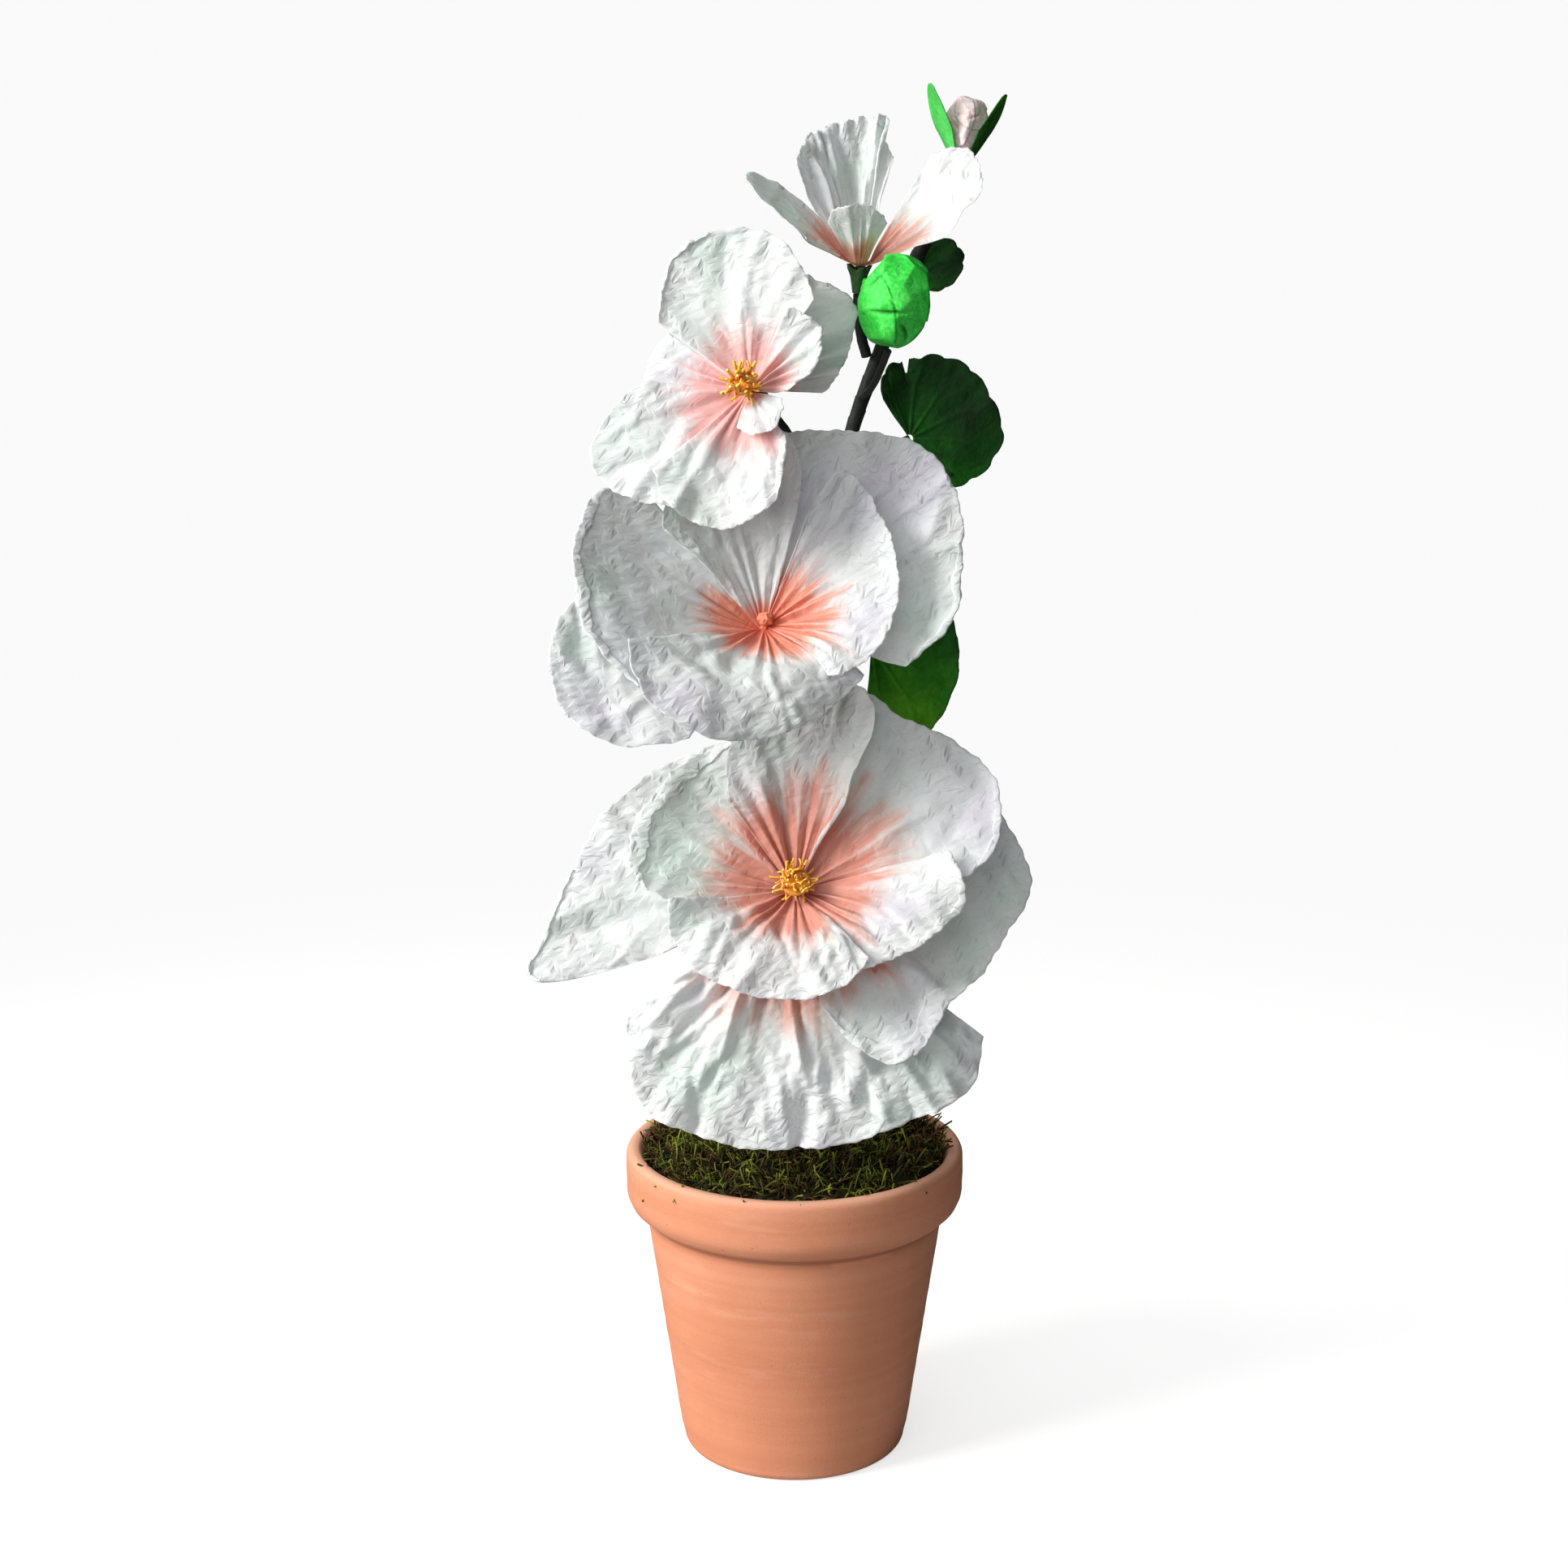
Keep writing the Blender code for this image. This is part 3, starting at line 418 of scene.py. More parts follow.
def ease(x):
    x = np.clip(x, 0.0, 1.0)
    return x * x * (3.0 - 2.0 * x)


def zigzag(x):
    # 0..1..0 over each whole step
    return np.abs(2.0 * (x - np.floor(x)) - 1.0)


def shellVolume(places, faces):
    # signed volume: negative when the faces look inwards
    total = 0.0
    for face in faces:
        corners = places[np.asarray(face)]
        first = corners[..., 0, :]
        for k in range(1, corners.shape[-2] - 1):
            total += float(np.sum(first * np.cross(corners[..., k, :], corners[..., k + 1, :])))
    return total / 6.0


class PieceMesh:
    # gathers closed shells and their point attributes into one mesh
    def __init__(self):
        self.places = []
        self.faces = []
        self.marks = {}
        self.count = 0

    def add(self, places, faces, marks):
        # faces is a list of equal-sided blocks, or of single faces
        if shellVolume(places, faces) < 0:
            faces = [np.asarray(face)[..., ::-1] for face in faces]
        for face in faces:
            moved = np.asarray(face) + self.count
            self.faces += moved.tolist() if moved.ndim == 2 else [moved.tolist()]
        self.places.append(places)
        for name, values in marks.items():
            self.marks.setdefault(name, []).append(values)
        self.count += len(places)

    def make(self, name, matrix=None):
        places = np.concatenate(self.places)
        if matrix is not None:
            turn = np.array(matrix)
            places = places @ turn[:3, :3].T + turn[:3, 3]
        mesh = bpy.data.meshes.new(name)
        mesh.from_pydata(places.tolist(), [], self.faces)
        for label, blocks in self.marks.items():
            values = np.concatenate(blocks).astype(np.float32)
            kind = "FLOAT_VECTOR" if values.ndim == 2 else "FLOAT"
            field = "vector" if values.ndim == 2 else "value"
            mesh.attributes.new(label, kind, "POINT").data.foreach_set(field, values.ravel())
        mesh.shade_smooth()
        return mesh


def addSheet(target, grid, marks, thickness):
    # a closed shell over a grid of points: front, back and the cut edge around it
    rows, columns = grid.shape[:2]
    across = np.gradient(grid, axis=1)
    along = np.gradient(grid, axis=0)
    normal = np.cross(across, along)
    normal /= np.maximum(np.linalg.norm(normal, axis=2, keepdims=True), 1e-12)
    front = (grid + normal * thickness / 2).reshape(-1, 3)
    back = (grid - normal * thickness / 2).reshape(-1, 3)
    index = np.arange(rows * columns).reshape(rows, columns)
    face = np.stack([index[:-1, :-1], index[:-1, 1:], index[1:, 1:], index[1:, :-1]], axis=-1).reshape(-1, 4)
    other = face[:, ::-1] + rows * columns
    ring = np.concatenate([index[0, :-1], index[:-1, -1], index[-1, :0:-1], index[:0:-1, 0]])
    after = np.roll(ring, -1)
    rim = np.stack([ring, ring + rows * columns, after + rows * columns, after], axis=-1)
    doubled = {name: np.concatenate([v.reshape(rows * columns, *v.shape[2:])] * 2) for name, v in marks.items()}
    target.add(np.concatenate([front, back]), [np.concatenate([face, other, rim])], doubled)


def keep(name, mesh, finish, slot, *nodes):
    # a finished piece: object at the origin, riding on the plant, standing for its CAD nodes
    made = bpy.data.objects.new(name, mesh)
    bpy.context.scene.collection.objects.link(made)
    mesh.materials.clear()
    mesh.materials.append(finishes[finish])
    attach(made, body)
    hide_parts(*nodes)
    return made


paper = {
    "thickness": 0.14 * mm,
    "step": 0.7 * mm,  # size of the mesh's squares
    "start": 4.2 * mm,  # where the CAD sheets leave the heart
    "gather": 3.0 * mm,  # how much further in the visible paper is gathered
    "layerStep": 0.8 * mm,
    "margin": 3.0,  # degrees by which an upper sheet stays above a lower one
    "samples": 49,
}


class Sheet:
    # one sheet that fans out from a heart: rays with a clock angle, a reach in mm and a lift in degrees
    def __init__(self, layer, clock, reach, lift, curl=0.0, bend=0.3, below=()):
        count = paper["samples"]
        self.layer = layer
        self.across = np.linspace(0.0, 1.0, count)
        self.clock = spline(clock, self.across)
        self.reach = spline(reach, self.across) * mm
        along = np.linspace(0.0, 1.0, count)[:, None]
        curls = spline(curl, self.across) if np.ndim(curl) else np.full(count, curl)
        self.lift = spline(lift, self.across)[None, :] + curls[None, :] * ease((along - bend) / (1 - bend))
        for other in below:
            self.riseAbove(other)

    def riseAbove(self, other):
        place = np.interp(self.clock, other.clock, other.across)
        outside = np.maximum(other.clock[0] - self.clock, self.clock - other.clock[-1])
        near = 1.0 - ease(outside / 10.0)
        length = np.linspace(0.0, 1.0, paper["samples"])[:, None] * self.reach[None, :]
        share = length / np.interp(place, other.across, other.reach)[None, :]
        floor = other.read(other.lift, np.broadcast_to(place, share.shape), np.clip(share, 0, 1))
        weight = near[None, :] * (1.0 - ease((share - 1.0) / 0.3))
        self.lift = self.lift + weight * np.maximum(0.0, floor + paper["margin"] - self.lift)

    def read(self, table, u, t):
        last = paper["samples"] - 1
        x = np.clip(u, 0, 1) * last
        y = np.clip(t, 0, 1) * last
        i = np.minimum(x.astype(int), last - 1)
        j = np.minimum(y.astype(int), last - 1)
        fx, fy = x - i, y - j
        top = table[j, i] * (1 - fx) + table[j, i + 1] * fx
        low = table[j + 1, i] * (1 - fx) + table[j + 1, i + 1] * fx
        return top * (1 - fy) + low * fy

    def settle(self, start):
        # tables of radius and height along each ray, worked out once
        count = paper["samples"]
        angle = np.radians(self.lift)
        step = (self.reach[None, :] - start) / (count - 1)
        run = np.cos(angle) * step
        rise = np.sin(angle) * step
        zero = np.zeros((1, count))
        offset = self.layer * paper["layerStep"]
        self.radius = np.concatenate([zero, np.cumsum((run[1:] + run[:-1]) / 2, axis=0)])
        self.height = np.concatenate([zero, np.cumsum((rise[1:] + rise[:-1]) / 2, axis=0)])
        self.radius += start - offset * np.sin(angle[0])[None, :]
        self.height += offset * np.cos(angle[0])[None, :]
        self.start = start

    def points(self, u, t):
        # t below 0 goes on towards the heart, down into the calyx
        inside = np.minimum(t, 0.0) * self.reachAt(u)
        lift = np.radians(self.read(self.lift, u, np.zeros_like(t)))
        drop = np.minimum(np.tan(np.clip(lift, 0.0, 1.0)), 0.35 + 0.2 * self.layer)
        r = self.read(self.radius, u, t) + inside
        h = self.read(self.height, u, t) + inside * drop
        c = self.clockAt(u)
        return np.stack([r * np.sin(c), r * np.cos(c), h], axis=-1)

    def clockAt(self, u):
        return np.radians(np.interp(u, self.across, self.clock))

    def reachAt(self, u):
        return np.interp(u, self.across, self.reach)

    def distance(self, u, t):
        reach = self.reachAt(u)
        return np.where(t < 0, self.start + t * reach, self.start + t * (reach - self.start))

    def normals(self, u, t):
        small = 0.01
        across = self.points(u + small, t) - self.points(u - small, t)
        along = self.points(u, t + small) - self.points(u, t - small)
        normal = np.cross(across, along)
        return normal / np.maximum(np.linalg.norm(normal, axis=-1, keepdims=True), 1e-12)


def softWaves(x, y, rng, size, count=6):
    # smooth random hills, about -1..1, with hills of the given size
    total = np.zeros_like(x)
    for _ in range(count):
        turn = rng.uniform(0, turnFull)
        wave = size * rng.uniform(0.7, 1.6)
        total += np.sin((x * math.cos(turn) + y * math.sin(turn)) * turnFull / wave + rng.uniform(0, turnFull))
    return total / math.sqrt(count)


def facetFolds(x, y, rng, size, octaves=4, decay=0.52):
    # crushed paper: zigzag folds, each bent by those before it, about -0.5..0.5
    total = np.zeros_like(x)
    height = 1.0
    wave = size
    for _ in range(octaves):
        turn = rng.uniform(0, turnFull)
        bent = total * size * 0.5
        place = ((x + bent) * math.cos(turn) + (y - bent) * math.sin(turn)) / wave + rng.uniform(0, 1)
        total += height * (zigzag(place) - 0.5)
        height *= decay
        wave *= 0.68
    return total / 1.6


defaultLook = {
    "tone": 0.9,  # 0 paints the paper grey as painted shade, 1 leaves it cool white
    "crumple": 0.35,  # how crushed the paper is inside, and how much more at its edge
    "crumpleEdge": 0.5,
    "crush": 0.9,  # height in mm of the sheet's own folds
    "sweep": 1.5,  # height in mm of the folds that all sheets of a bloom share
    "crease": 1.0,
    "creases": 0.010,  # creases for each square millimetre
    "spread": 0.35,
    "ruffle": 1.5,  # mm at the edge
    "ragged": 1.9,  # mm cut off the edge here and there
    "blush": 34.0,  # mm from the heart to the end of the dye
    "pleatScale": 1.0,
    "pleatEnd": 1.0,  # stretches the pleats outwards
    "lip": None,  # share of the ray where the sheet folds over, and the height of that fold in mm
    "hems": (),
    "steps": (),
}


def pleatRise(clock, distance, style, look):
    # folds that gather the paper at the heart; every sheet of a bloom shares them
    rng = np.random.default_rng(style["seed"])
    wander = sum(rng.uniform(0.1, 0.32) * np.sin(k * clock + rng.uniform(0, turnFull)) for k in (1, 2, 3, 5, 7))
    wide = zigzag(clock * style["pleats"] / turnFull + wander)
    narrow = zigzag(clock * (style["pleats"] * 1.9) / turnFull + 1.7 * wander + 0.3)
    end = style["pleatEnd"] * look["pleatEnd"]
    grow = ease((distance - 1.2 * mm) / (9.0 * mm))
    fade = 1.0 - 0.9 * ease((distance - 0.32 * end * mm) / (0.9 * end * mm))
    fineFade = 1.0 - ease((distance - 0.2 * end * mm) / (0.6 * end * mm))
    strength = 0.75 + 0.35 * np.sin(3 * clock + rng.uniform(0, turnFull))
    rise = (wide - 0.5) * 2.0 * fade + (narrow - 0.5) * 0.7 * fineFade
    height = style["pleatHeight"] * look["pleatScale"] * mm
    return rise * grow * height * strength, (wide * 0.65 + narrow * 0.35), grow * fade


def layPaper(sheet, u, t, look, style, seed):
    # the real surface of the paper at u, t, and the marks that its material reads
    rng = np.random.default_rng(seed)
    clock = sheet.clockAt(u)
    distance = sheet.distance(u, t)
    x = distance * np.sin(clock)
    y = distance * np.cos(clock)
    rise, fold, gathered = pleatRise(clock, distance, style, look)
    outer = ease((distance - 8 * mm) / (34 * mm))
    grow = 0.2 + 0.8 * outer
    shared = np.random.default_rng(style["seed"] + 77)
    sweep = facetFolds(x, y, shared, 33 * mm, 3, 0.5)
    rise = rise + sweep * look["sweep"] * mm * outer
    rise = rise + facetFolds(x, y, rng, 15 * mm) * look["crush"] * mm * grow
    area = abs(sheet.clock[-1] - sheet.clock[0]) * math.pi / 360 * float(np.mean(sheet.reach / mm)) ** 2
    tents = np.zeros_like(x)
    lines = np.zeros_like(x)
    for _ in range(int(area * look["creases"])):
        # each crease is a low tent with a sharp top; most run outwards from the heart
        seatU, seatT = np.array(rng.random()), np.array(rng.uniform(0.15, 1.0))
        seatClock = float(sheet.clockAt(seatU))
        seatReach = float(sheet.distance(seatU, seatT))
        turn = math.pi / 2 - seatClock + rng.normal(0.0, look["spread"])
        half = rng.uniform(7.0, 26.0) * mm
        width = rng.uniform(1.4, 4.5) * mm
        sign = 1.0 if rng.random() < 0.62 else -1.0
        steep = rng.uniform(0.16, 0.42)
        bow = rng.uniform(-5.0, 5.0)
        ahead, beside = x - seatReach * math.sin(seatClock), y - seatReach * math.cos(seatClock)
        along = ahead * math.cos(turn) + beside * math.sin(turn)
        side = beside * math.cos(turn) - ahead * math.sin(turn) + along * along * bow
        fade = 1.0 - ease(np.abs(along) / half)
        tents += sign * np.clip(1.0 - np.abs(side) / width, 0.0, 1.0) * fade * width * steep
        lines = np.maximum(lines, np.clip(1.0 - np.abs(side) / (0.7 * mm), 0, 1) * fade * (0.5 + 0.5 * sign))
    rise = rise + tents * look["crease"] * grow
    wave = softWaves(x, y, rng, 36.0 * mm) * 0.5 + facetFolds(x, y, rng, 26.0 * mm, 2) * 1.4
    rise = rise + wave * look["ruffle"] * mm * ease((t - 0.3) / 0.7) ** 1.3
    beyond = np.zeros_like(x)
    crumple = look["crumple"] + look["crumpleEdge"] * ease((t - 0.45) / 0.5)
    if look["lip"]:
        # a sharp, uneven ridge where the sheet turns over, and crushed paper outside it
        at, height = look["lip"]
        wander = (zigzag(clock * 3.1 + 0.4) - 0.5) * 0.10 + (zigzag(clock * 7.3) - 0.5) * 0.06
        past = (t - at - wander) * sheet.reachAt(u)
        ridge = np.clip(1.0 - np.abs(past) / (4.5 * mm), 0, 1)
        rise = rise + height * mm * ridge * (0.75 + 0.5 * (zigzag(clock * 5.2) - 0.5))
        beyond = ease(past / (1.6 * mm) + 0.5)
        rise = rise + beyond * facetFolds(x, y, rng, 10 * mm) * 2.0 * mm
        lines = np.maximum(lines, np.clip(1.0 - np.abs(past) / (0.8 * mm), 0, 1))
        crumple = crumple + 0.4 * beyond
    place = sheet.points(u, t) + sheet.normals(u, t) * rise[..., None]
    # the pleat value, low in valleys and high on ridges, becomes painted shade and painted highlight in the tissue;
    # crease and lip lines raise it to a highlight
    fold = 0.5 + (fold - 0.5) * gathered
    fold = np.clip(fold * (1 - lines * 0.5) + lines * 0.55, 0, 1)
    fields = {
        "flat": np.stack([x, y, np.full_like(x, 0.05 * (seed % 17))], axis=-1),
        "polar": np.stack([clock, distance / 0.01, distance / (look["blush"] * mm)], axis=-1),
        "tone": np.stack([np.full_like(x, look["tone"]), np.clip(crumple, 0, 1), beyond], axis=-1),
    }
    return place, fold, fields


def edgeCut(sheet, u, look, seed):
    # how far the cut edge stays inside the sheet's outline, as a share of the ray
    rng = np.random.default_rng(seed + 500)
    clock = sheet.clockAt(u)
    bite = np.zeros_like(u)
    for wave, share in ((7.0, 0.45), (17.0, 0.3), (41.0, 0.25)):
        bite += share * zigzag(clock * wave / turnFull * 2.2 + rng.uniform(0, 1))
    depth = bite * look["ragged"] * mm
    for start, end, cut in look["steps"]:
        depth = depth + np.where((u > start) & (u < end), cut * mm, 0.0)
    for count, deep in look.get("scallops", ()):
        depth = depth + deep * mm * (1.0 - np.abs(np.sin(u * math.pi * count)) ** 0.6)
    return np.clip(depth / sheet.reachAt(u), 0.0, 0.6)


def addHem(target, sheet, hem, look, style, seed):
    # an edge turned over and pressed flat on the front of the sheet
    side, start, end, width = hem
    share = np.linspace(0.0, 1.0, max(12, int(90 * (end - start))))
    depth = np.linspace(0.0, 1.0, max(5, int(width / 0.7) + 2))
    run, into = np.meshgrid(share, depth)
    place = start + run * (end - start)
    taper = np.clip(np.minimum(run, 1 - run) * 5.0, 0.04, 1.0)
    wide = width * mm * taper * (0.62 + 0.38 * zigzag(run * 2.7 + seed * 0.37) + 0.12 * (zigzag(run * 9.1 + 0.2) - 0.5))
    if side == "tip":
        u = place
        t = 1.0 - edgeCut(sheet, u, look, seed) - into * wide / sheet.reachAt(u)
    else:
        t = place * (1.0 - edgeCut(sheet, np.full_like(place, 0.0 if side == "first" else 1.0), look, seed))
        span = abs(math.radians(sheet.clock[-1] - sheet.clock[0]))
        inward = into * wide / (np.maximum(sheet.distance(np.full_like(t, 0.5), t), 3 * mm) * span)
        u = inward if side == "first" else 1.0 - inward
    grid, fold, fields = layPaper(sheet, u, t, look, style, seed)
    own = np.random.default_rng(seed + 9)
    crushed = np.abs(facetFolds(fields["flat"][..., 0] * 1.3, fields["flat"][..., 1] * 1.3, own, 8 * mm))
    puff = 0.20 + 0.35 * np.sin(np.clip(into, 0, 1) * math.pi * 0.55) + 0.7 * crushed * into
    grid = grid + sheet.normals(u, t) * (puff * mm)[..., None]
    edge = np.clip(1.0 - (1.0 - into) * wide / (0.55 * mm), 0, 1)
    # the doubled paper and its folded edge are marked for painted highlight
    fields["marks"] = np.stack([fold, edge, np.ones_like(edge)], axis=-1)
    fields["tone"][..., 1] = np.clip(fields["tone"][..., 1] + 0.2, 0, 1)
    fields["tone"][..., 2] = np.maximum(fields["tone"][..., 2], 0.85)
    addSheet(target, grid, fields, paper["thickness"])


def paperPiece(name, sheet, look, style, seed, matrix, finish, slot, node, thickness=None):
    thick = thickness or paper["thickness"]
    span = abs(math.radians(sheet.clock[-1] - sheet.clock[0]))
    longest = float(sheet.reach.max())
    columns = int(np.clip(span * float(np.mean(sheet.reach)) * 0.8 / paper["step"], 24, 170))
    rows = int(np.clip(longest / paper["step"], 18, 105))
    inner = paper["gather"] / longest if sheet.start >= paper["gather"] + 1 * mm else 0.0
    u, t = np.meshgrid(np.linspace(0, 1, columns), np.linspace(-inner, 1, rows))
    cut = edgeCut(sheet, u, look, seed)
    t = np.where(t > 0, t * (1.0 - cut), t)
    grid, fold, fields = layPaper(sheet, u, t, look, style, seed)
    fromTip = (1.0 - cut - t) * sheet.reachAt(u)
    fromSide = np.minimum(u, 1 - u) * span * sheet.distance(u, t)
    edge = np.clip(1.0 - np.minimum(fromTip, fromSide) / (0.6 * mm), 0, 1)
    if "veins" in look:
        fold, lift = leafVeins(sheet, u, t, look["veins"])
        grid = grid + sheet.normals(u, t) * lift[..., None]
    piece = PieceMesh()
    # on tissue, fold gives painted valley shade and ridge highlight, and edge a painted highlight along the cut edge
    fields["marks"] = np.stack([fold, edge, np.zeros_like(edge)], axis=-1)
    addSheet(piece, grid, fields, thick)
    for hem in look["hems"]:
        addHem(piece, sheet, hem, look, style, seed)
    return keep(name, piece.make(name, matrix), finish, slot, node)


def leafVeins(sheet, u, t, count):
    # main veins that fan from the stalk, each forking once
    clock = sheet.clockAt(u)
    first, last = math.radians(sheet.clock[0]), math.radians(sheet.clock[-1])
    distance = sheet.distance(u, t)
    mask = np.zeros_like(u)
    for step in range(count):
        at = first + (last - first) * (step + 0.5) / count
        fork = 0.11 * ease((t - 0.5) / 0.5)
        for turn in (-1.0, 1.0):
            side = np.abs(np.sin(clock - at - turn * fork)) * distance
            mask = np.maximum(mask, np.clip(1.0 - side / (0.8 * mm), 0, 1) * (1.0 - 0.7 * np.clip(t, 0, 1)))
    return mask, mask * 0.35 * mm


def bloomMatrix(place, rise, turn):
    turned = Euler((math.radians(90 - rise), 0.0, math.radians(turn))).to_matrix().to_4x4()
    return Matrix.Translation(potAxis + Vector(place)) @ turned


bottomBloom = {
    "place": (0.0, -0.035, 0.1888), "rise": 35, "turn": 0, "finish": "bottomTissue",
    "style": {"pleats": 19, "pleatHeight": 0.95, "pleatEnd": 34.0, "seed": 11},
    "petals": {
        "outer_bottom": dict(
            layer=0,
            clock=(126, 136, 152, 168, 187, 204, 219, 236),
            reach=(70, 78, 76, 76, 77, 78, 77, 62),
            lift=(-12, -16, -20, -22, -22, -20, -18, -14),
            look=dict(crush=1.9, crease=2.2, creases=0.022, spread=0.28, ruffle=1.6, ragged=1.6, pleatScale=2.1, pleatEnd=2.0, blush=44.0),
        ),
        "outer_right": dict(
            layer=1,
            clock=(40, 56, 70, 84, 104, 128, 150, 168),
            reach=(50, 64, 69, 72, 63, 57, 60, 36),
            lift=(-2, -4, -6, -8, -8, -6, -6, -6),
            curl=(0, 0, 0, 0, 4, 6, 6, 4),
            look=dict(hems=(("tip", 0.60, 0.99, 8.0),), blush=42.0),
        ),
        "outer_left": dict(
            layer=1,
            clock=(246, 252, 262, 276, 292, 312, 334),
            reach=(44, 82, 75, 67, 62, 56, 50),
            lift=(-8, -6, -4, 0, 4, 8, 10),
            look=dict(creases=0.016, crush=0.8, blush=30.0, hems=(("tip", 0.02, 0.5, 2.0),)),
        ),
        "right_top": dict(
            layer=2,
            clock=(10, 20, 34, 50, 64, 78, 92),
            reach=(57, 64, 62, 67, 68, 64, 54),
            lift=(18, 16, 12, 10, 10, 12, 16),
            curl=(0, 0, 0, 0, 4, 8, 10),
            look=dict(crush=0.7, blush=40.0, hems=(("tip", 0.62, 0.98, 3.0),)),
        ),
        "left": dict(
            layer=3,
            clock=(256, 270, 284, 300, 320, 344),
            reach=(42, 51, 53, 52, 51, 49),
            lift=(20, 18, 16, 16, 16, 18),
            curl=(4, 4, 2, 0, 0, 0),
            look=dict(crush=0.45, crease=0.7, blush=33.0, hems=(("tip", 0.10, 1.0, 6.5),)),
        ),
        "top": dict(
            layer=4,
            clock=(320, 336, 352, 366, 376, 384, 391),
            reach=(34, 50, 54, 58, 65, 60, 42),
            lift=(22, 20, 18, 18, 18, 20, 24),
            look=dict(crush=0.5, blush=40.0, hems=(("last", 0.18, 1.0, 2.6),)),
        ),
        "right_lower": dict(
            layer=4,
            clock=(82, 98, 114, 130, 148),
            reach=(50, 54, 48, 42, 36),
            lift=(20, 20, 22, 24, 26),
            curl=(8, -16, -40, -55, -55),
            bend=0.5,
            look=dict(crush=1.0, blush=33.0, creases=0.016, hems=(("tip", 0.05, 0.9, 3.4),)),
        ),
        "bottom": dict(
            layer=5,
            clock=(140, 160, 184, 206, 230, 256),
            reach=(38, 41, 42, 43, 45, 44),
            lift=(28, 27, 27, 26, 25, 24),
            curl=(-55, -70, -70, -65, -45, -6),
            bend=0.5,
            look=dict(crush=1.2, blush=29.0, creases=0.02, crease=1.3, ragged=1.2, spread=0.8),
        ),
    },
}

middleBloom = {
    "place": (-0.0090, -0.035, 0.2670), "rise": 50, "turn": 8, "finish": "middleTissue",
    "style": {"pleats": 21, "pleatHeight": 0.85, "pleatEnd": 30.0, "seed": 23},
    "petals": {
        "back_right": dict(
            layer=0,
            clock=(-2, 14, 30, 47, 64, 82, 100, 118),
            reach=(54, 61, 65, 71, 70, 62, 56, 44),
            lift=(36, 34, 32, 30, 28, 23, 17, 10),
            look=dict(crush=0.5, crease=1.4, blush=22.0, spread=0.3, hems=(("tip", 0.66, 0.99, 3.0),)),
        ),
        "outer_left": dict(
            layer=0,
            clock=(214, 228, 242, 254, 266, 280),
            reach=(45, 61, 68, 67, 62, 52),
            lift=(-4, 0, 4, 8, 12, 16),
            look=dict(crush=1.0, creases=0.02, blush=20.0, spread=1.2),
        ),
        "left": dict(
            layer=1,
            clock=(234, 250, 266, 282, 298, 314),
            reach=(50, 58, 62, 64, 64, 56),
            lift=(12, 18, 22, 26, 28, 30),
            curl=(0, 6, 8, 8, 4, 0),
            look=dict(crush=0.6, blush=26.0, hems=(("tip", 0.0, 0.92, 4.0),)),
        ),
        "top": dict(
            layer=2,
            clock=(302, 324, 346, 364, 376, 384),
            reach=(44, 55, 60, 61, 54, 36),
            lift=(38, 39, 40, 40, 40, 42),
            look=dict(crush=0.9, blush=12.0, pleatScale=0.8, hems=(("first", 0.16, 0.98, 5.0), ("last", 0.3, 1.0, 1.6))),
        ),
        "front": dict(
            layer=3,
            clock=(128, 150, 174, 198, 222, 246),
            reach=(36, 38, 42, 48, 54, 50),
            lift=(18, 18, 18, 18, 20, 24),
            curl=(-50, -66, -66, -56, -36, -10),
            bend=0.35,
            look=dict(crush=0.8, blush=22.0, creases=0.016, spread=1.0, ragged=1.0),
        ),
        "right": dict(
            layer=4,
            clock=(30, 37, 46, 62, 84, 108, 130, 148),
            reach=(42, 53, 52, 49, 46, 42, 38, 32),
            lift=(42, 42, 40, 38, 34, 30, 26, 24),
            curl=(0, 0, 0, 0, 0, -16, -40, -50),
            bend=0.4,
            look=dict(crush=0.55, blush=30.0, pleatScale=1.4, pleatEnd=1.2, hems=(("first", 0.25, 1.0, 1.8),)),
        ),
    },
}

